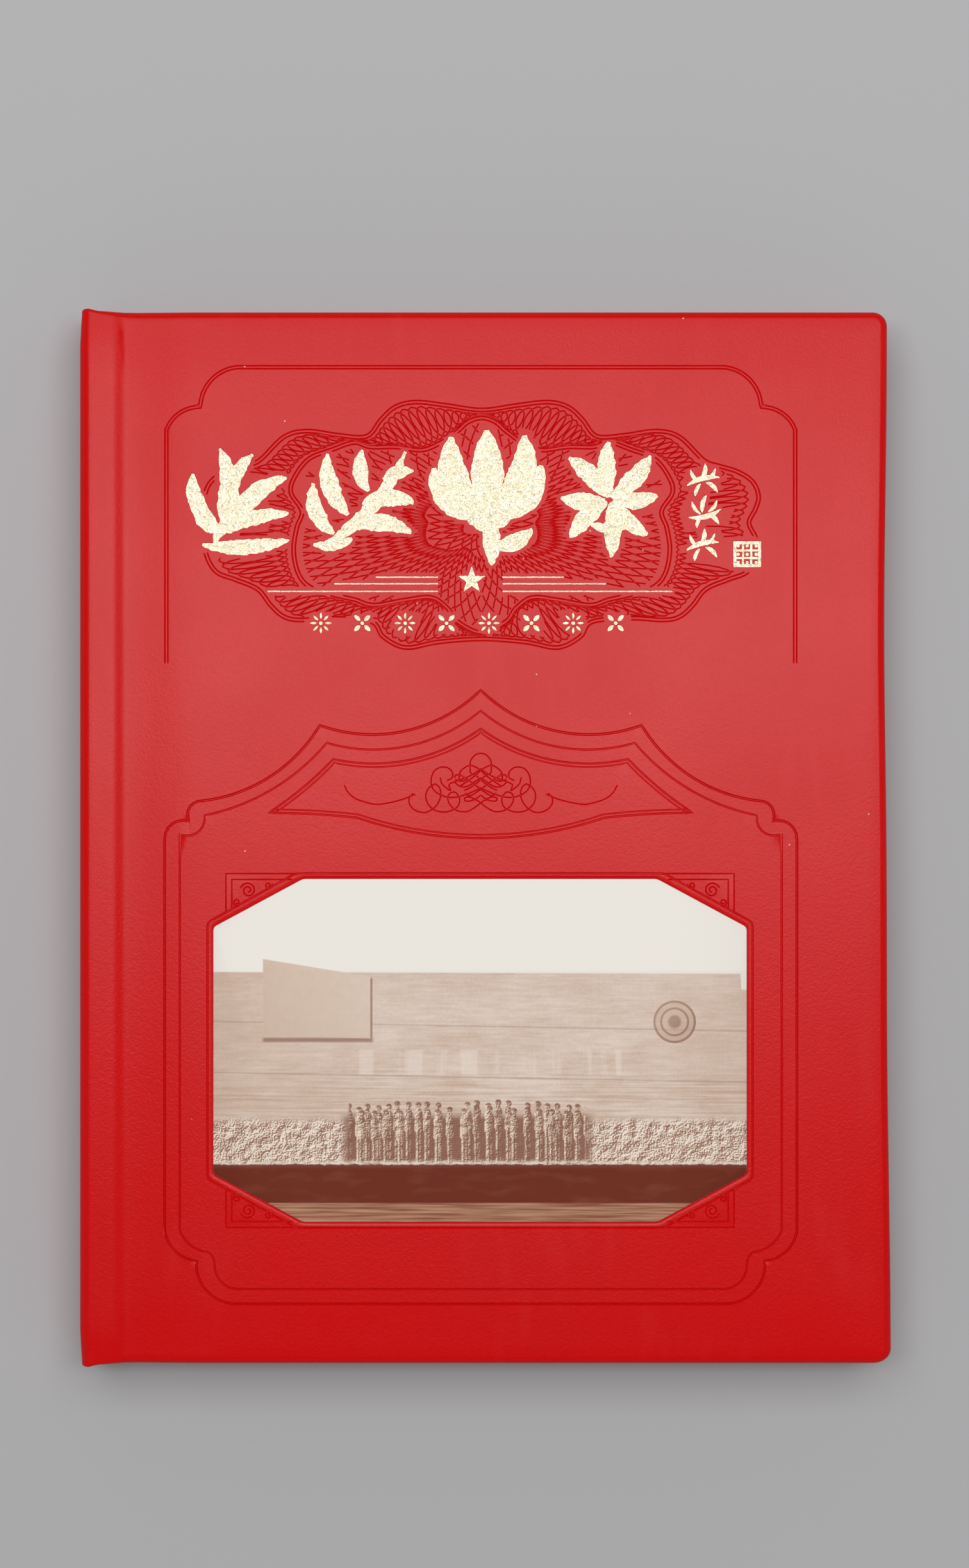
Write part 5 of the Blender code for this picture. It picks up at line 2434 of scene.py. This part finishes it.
@dataclass
class Studio:
    """Pale floor, soft lights and a camera straight overhead."""

    view_height: float = 0.4541
    centre: Pair = (0.0003, 0.0156)
    camera_height: float = 1.15
    top: float = 0.0316
    zenith: float = 0.12
    horizon: float = 0.62
    floor_half: float = 25.0
    floor_colour: Vec = (0.43, 0.43, 0.438)
    sensor: float = 36.0

    # Each light's name, place, size and power. They face straight down.
    BOXES = (
        ("near_box", (0.0, 0.12, 1.75), (1.2, 0.30), 12.9),
        ("far_box", (0.0, 0.62, 1.72), (1.6, 0.74), 12.5),
    )

    def build(self) -> None:
        """Makes the floor, the lights, the world and the camera."""
        self.build_floor()
        for name, place, size, power in self.BOXES:
            self.build_light(name, place, size, power)
        self.build_world()
        bpy.context.scene.view_settings.view_transform = "Standard"
        self.build_camera()

    def build_floor(self) -> None:
        """A large pale sheet."""
        mesh = bpy.data.meshes.new("floor")
        far = self.floor_half
        corners = [(-far, -far, 0), (far, -far, 0), (far, far, 0), (-far, far, 0)]
        mesh.from_pydata(corners, [], [(0, 1, 2, 3)])
        made = put("floor", mesh)
        finish = bpy.data.materials.new("floor_paper")
        finish.use_nodes = True
        shader = finish.node_tree.nodes["Principled BSDF"]
        shader.inputs["Base Color"].default_value = (*self.floor_colour, 1.0)
        shader.inputs["Roughness"].default_value = 0.75
        mesh.materials.append(finish)
        made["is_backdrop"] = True

    def build_world(self) -> None:
        """A soft grey surround, darker straight overhead than near the horizon."""
        world = bpy.data.worlds.new("studio")
        bpy.context.scene.world = world
        world.use_nodes = True
        g = Graph(world.node_tree)
        place = g.add("ShaderNodeTexCoord").outputs["Generated"]
        rise = g.parts(place).outputs[2]
        strength = g.ramp(rise, 0.0, 1.0, self.horizon, self.zenith)
        background = world.node_tree.nodes["Background"]
        background.inputs["Color"].default_value = (1.0, 0.995, 0.985, 1.0)
        g.tree.links.new(strength, background.inputs["Strength"])

    def build_light(self, name: str, place: Vec, size: Pair, power: float) -> None:
        """An area light.

        Args:
            name: its name.
            place: where it hangs.
            size: its width and depth.
            power: its power in watts.
        """
        light = bpy.data.lights.new(name, "AREA")
        light.shape = "RECTANGLE"
        light.size, light.size_y = size
        light.energy = power
        made = put(name, light)
        made.location = place
        towards = Vector((place[0], place[1], 0.0)) - Vector(place)
        made.rotation_euler = towards.to_track_quat("-Z", "Y").to_euler()

    def build_camera(self) -> None:
        """A camera that looks straight down."""
        data = bpy.data.cameras.new("camera")
        data.sensor_fit = "VERTICAL"
        data.sensor_height = self.sensor
        away = self.camera_height - self.top
        data.lens = self.sensor * away / self.view_height
        made = put("camera", data)
        made.location = (*self.centre, self.camera_height)
        bpy.context.scene.camera = made


# ---- main


def dress_node(frame: dict, node: str, material: Material) -> None:
    """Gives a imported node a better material."""
    target = frame["nodes"][node]
    if target.data.materials:
        for i in range(len(target.material_slots)):
            target.material_slots[i].material = material
    else:
        target.data.materials.append(material)


def main() -> None:
    """Builds every piece and the studio."""
    logging.basicConfig(level=logging.INFO, format="%(name)s: %(message)s")
    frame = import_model()
    effects = Effects()
    leather = Leatherette("leatherette", (0.605, 0.003, 0.004), 0.27).material(effects)
    gold = GoldFoil("gold_foil", (0.92, 0.78, 0.50), 0.3).material(effects)
    foam = Foam("white_foam", (0.82, 0.80, 0.75), 0.95).material(effects)
    board = PaperFinish("greyboard", (0.34, 0.31, 0.26), 0.9, (0.22, 0.20, 0.17)).material(effects)
    endpaper = PaperFinish(
        "cream_endpaper", (0.82, 0.77, 0.66), 0.8, (0.74, 0.68, 0.56)
    ).material(effects)
    page = PaperFinish(
        "black_card", (0.014, 0.014, 0.015), 0.72, (0.028, 0.028, 0.03)
    ).material(effects)
    glassine = PaperFinish(
        "glassine", (0.84, 0.83, 0.79), 0.38, (0.74, 0.73, 0.68), 500.0
    ).material(effects)
    film = ClearFilm("clear_film", (0.86, 0.88, 0.90), 0.08).material(effects)
    linen = ClothFinish("black_linen", (0.022, 0.022, 0.024), 0.85, (0.005, 0.005, 0.006))
    linen = linen.material(effects)
    thread = ClothFinish("band_thread", (0.50, 0.03, 0.03), 0.7, (0.2, 0.01, 0.01), 3000.0)
    thread = thread.material(effects)
    picture = SepiaPrint("sepia_print", (0.83, 0.795, 0.735), 0.6).material(effects)

    size = np.array(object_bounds()[1]) - np.array(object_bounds()[0])
    skin_low, skin_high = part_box("front_cover_skin")
    case = Case(size[0] / MM, (skin_high.y - skin_low.y) / MM, size[2] / MM)
    build_case(case, leather, gold, foam, picture)
    build_inside(film, linen, thread)

    for node in frame["nodes"]:
        if node.endswith("_board"):
            dress_node(frame, node, board)
        elif node.endswith(("_pastedown", "_flyleaf", "_liner")):
            dress_node(frame, node, endpaper)
        elif node.endswith("_card"):
            dress_node(frame, node, page)
        elif node.endswith("_interleaf"):
            dress_node(frame, node, glassine)
        elif node == "binding_back":
            dress_node(frame, node, linen)
        elif node in ("head_band", "tail_band"):
            dress_node(frame, node, thread)
    Studio(top=case.thickness * MM).build()


def build_case(
    case: Case, leather: Material, gold: Material, foam: Material, picture: Material
) -> None:
    """Makes the leatherette, foil, foam and print, and puts the foil, foam and print on their
    bodies.

    Args:
        case: the case's sizes.
        leather: the leatherette.
        gold: the foil.
        foam: the padding.
        picture: the print.
    """
    work = FoilWork()
    work.build()
    clear = [stroke_margin(shape.foil, 1.0) for shape in work.shapes]
    ornament = PressedOrnament(keep_clear=clear)
    lines = ornament.build()
    window = ornament.window(0.0, 1.0)
    front_wrap = Wrap(case.width, case.height, case.thickness, Side.FRONT)
    front = WrappedSheet(front_wrap, window, lines, work, wave=1.0)
    sheet, panel = case.build_sheet("front_leatherette", front, leather)
    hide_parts("front_cover_skin", "front_cover_joint", "spine_skin")
    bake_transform(sheet)
    for piece in case.build_foil(panel, work, gold):
        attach(piece, "front_cover")
    back_wrap = Wrap(case.width, case.height, case.thickness, Side.BACK)
    sheet, _ = case.build_sheet("back_leatherette", WrappedSheet(back_wrap), leather)
    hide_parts("back_cover_skin", "back_cover_joint")
    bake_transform(sheet)
    for side, body in ((Side.FRONT, "front_cover"), (Side.BACK, "back_cover")):
        piece = case.build_foam(f"{side.value}_foam", side, foam)
        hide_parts(f"{body}_padding")
        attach(piece, body)
    card = case.build_print(window, picture)
    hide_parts("window_print")
    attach(card, "front_cover")


def stroke_margin(outline: Rows, margin: float) -> Rows:
    """An outline grown by a margin along its own side vectors."""
    area = np.sum(
        outline[:, 0] * np.roll(outline[:, 1], -1) - outline[:, 1] * np.roll(outline[:, 0], -1)
    )
    return outline + side_vectors(outline, True) * (-margin if area > 0 else margin)


def build_inside(film: Material, linen: Material, thread: Material) -> None:
    """Makes the pockets, linen, headbands and sewing, and puts all but the linen on their bodies.

    Args:
        film: the pockets' clear film.
        linen: the leaves' hinges.
        thread: the headbands and the sewing.
    """
    leaves = Leaves()
    strips = leaves.strip_tree(film)
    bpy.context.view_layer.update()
    for number in range(1, leaves.count + 1):
        body = f"leaf_{number}"
        for side in ("under", "over"):
            node = f"leaf_{number}_pockets_{side}"
            piece = leaves.build_pockets(node, strips, film)
            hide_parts(node)
            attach(piece, body)
        piece = leaves.build_linen(number, linen)
        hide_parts(f"leaf_{number}_hinge_linen")
        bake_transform(piece)
        LOG.info("%s: pockets and linen", body)
    binding = Binding()
    turns = binding.coil_tree(thread)
    for node in ("head_band", "tail_band"):
        piece = binding.build_band(node, turns, thread)
        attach(piece, "spine")
    piece = binding.build_sewing(turns, thread)
    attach(piece, "spine")


if __name__ == "__main__":
    main()
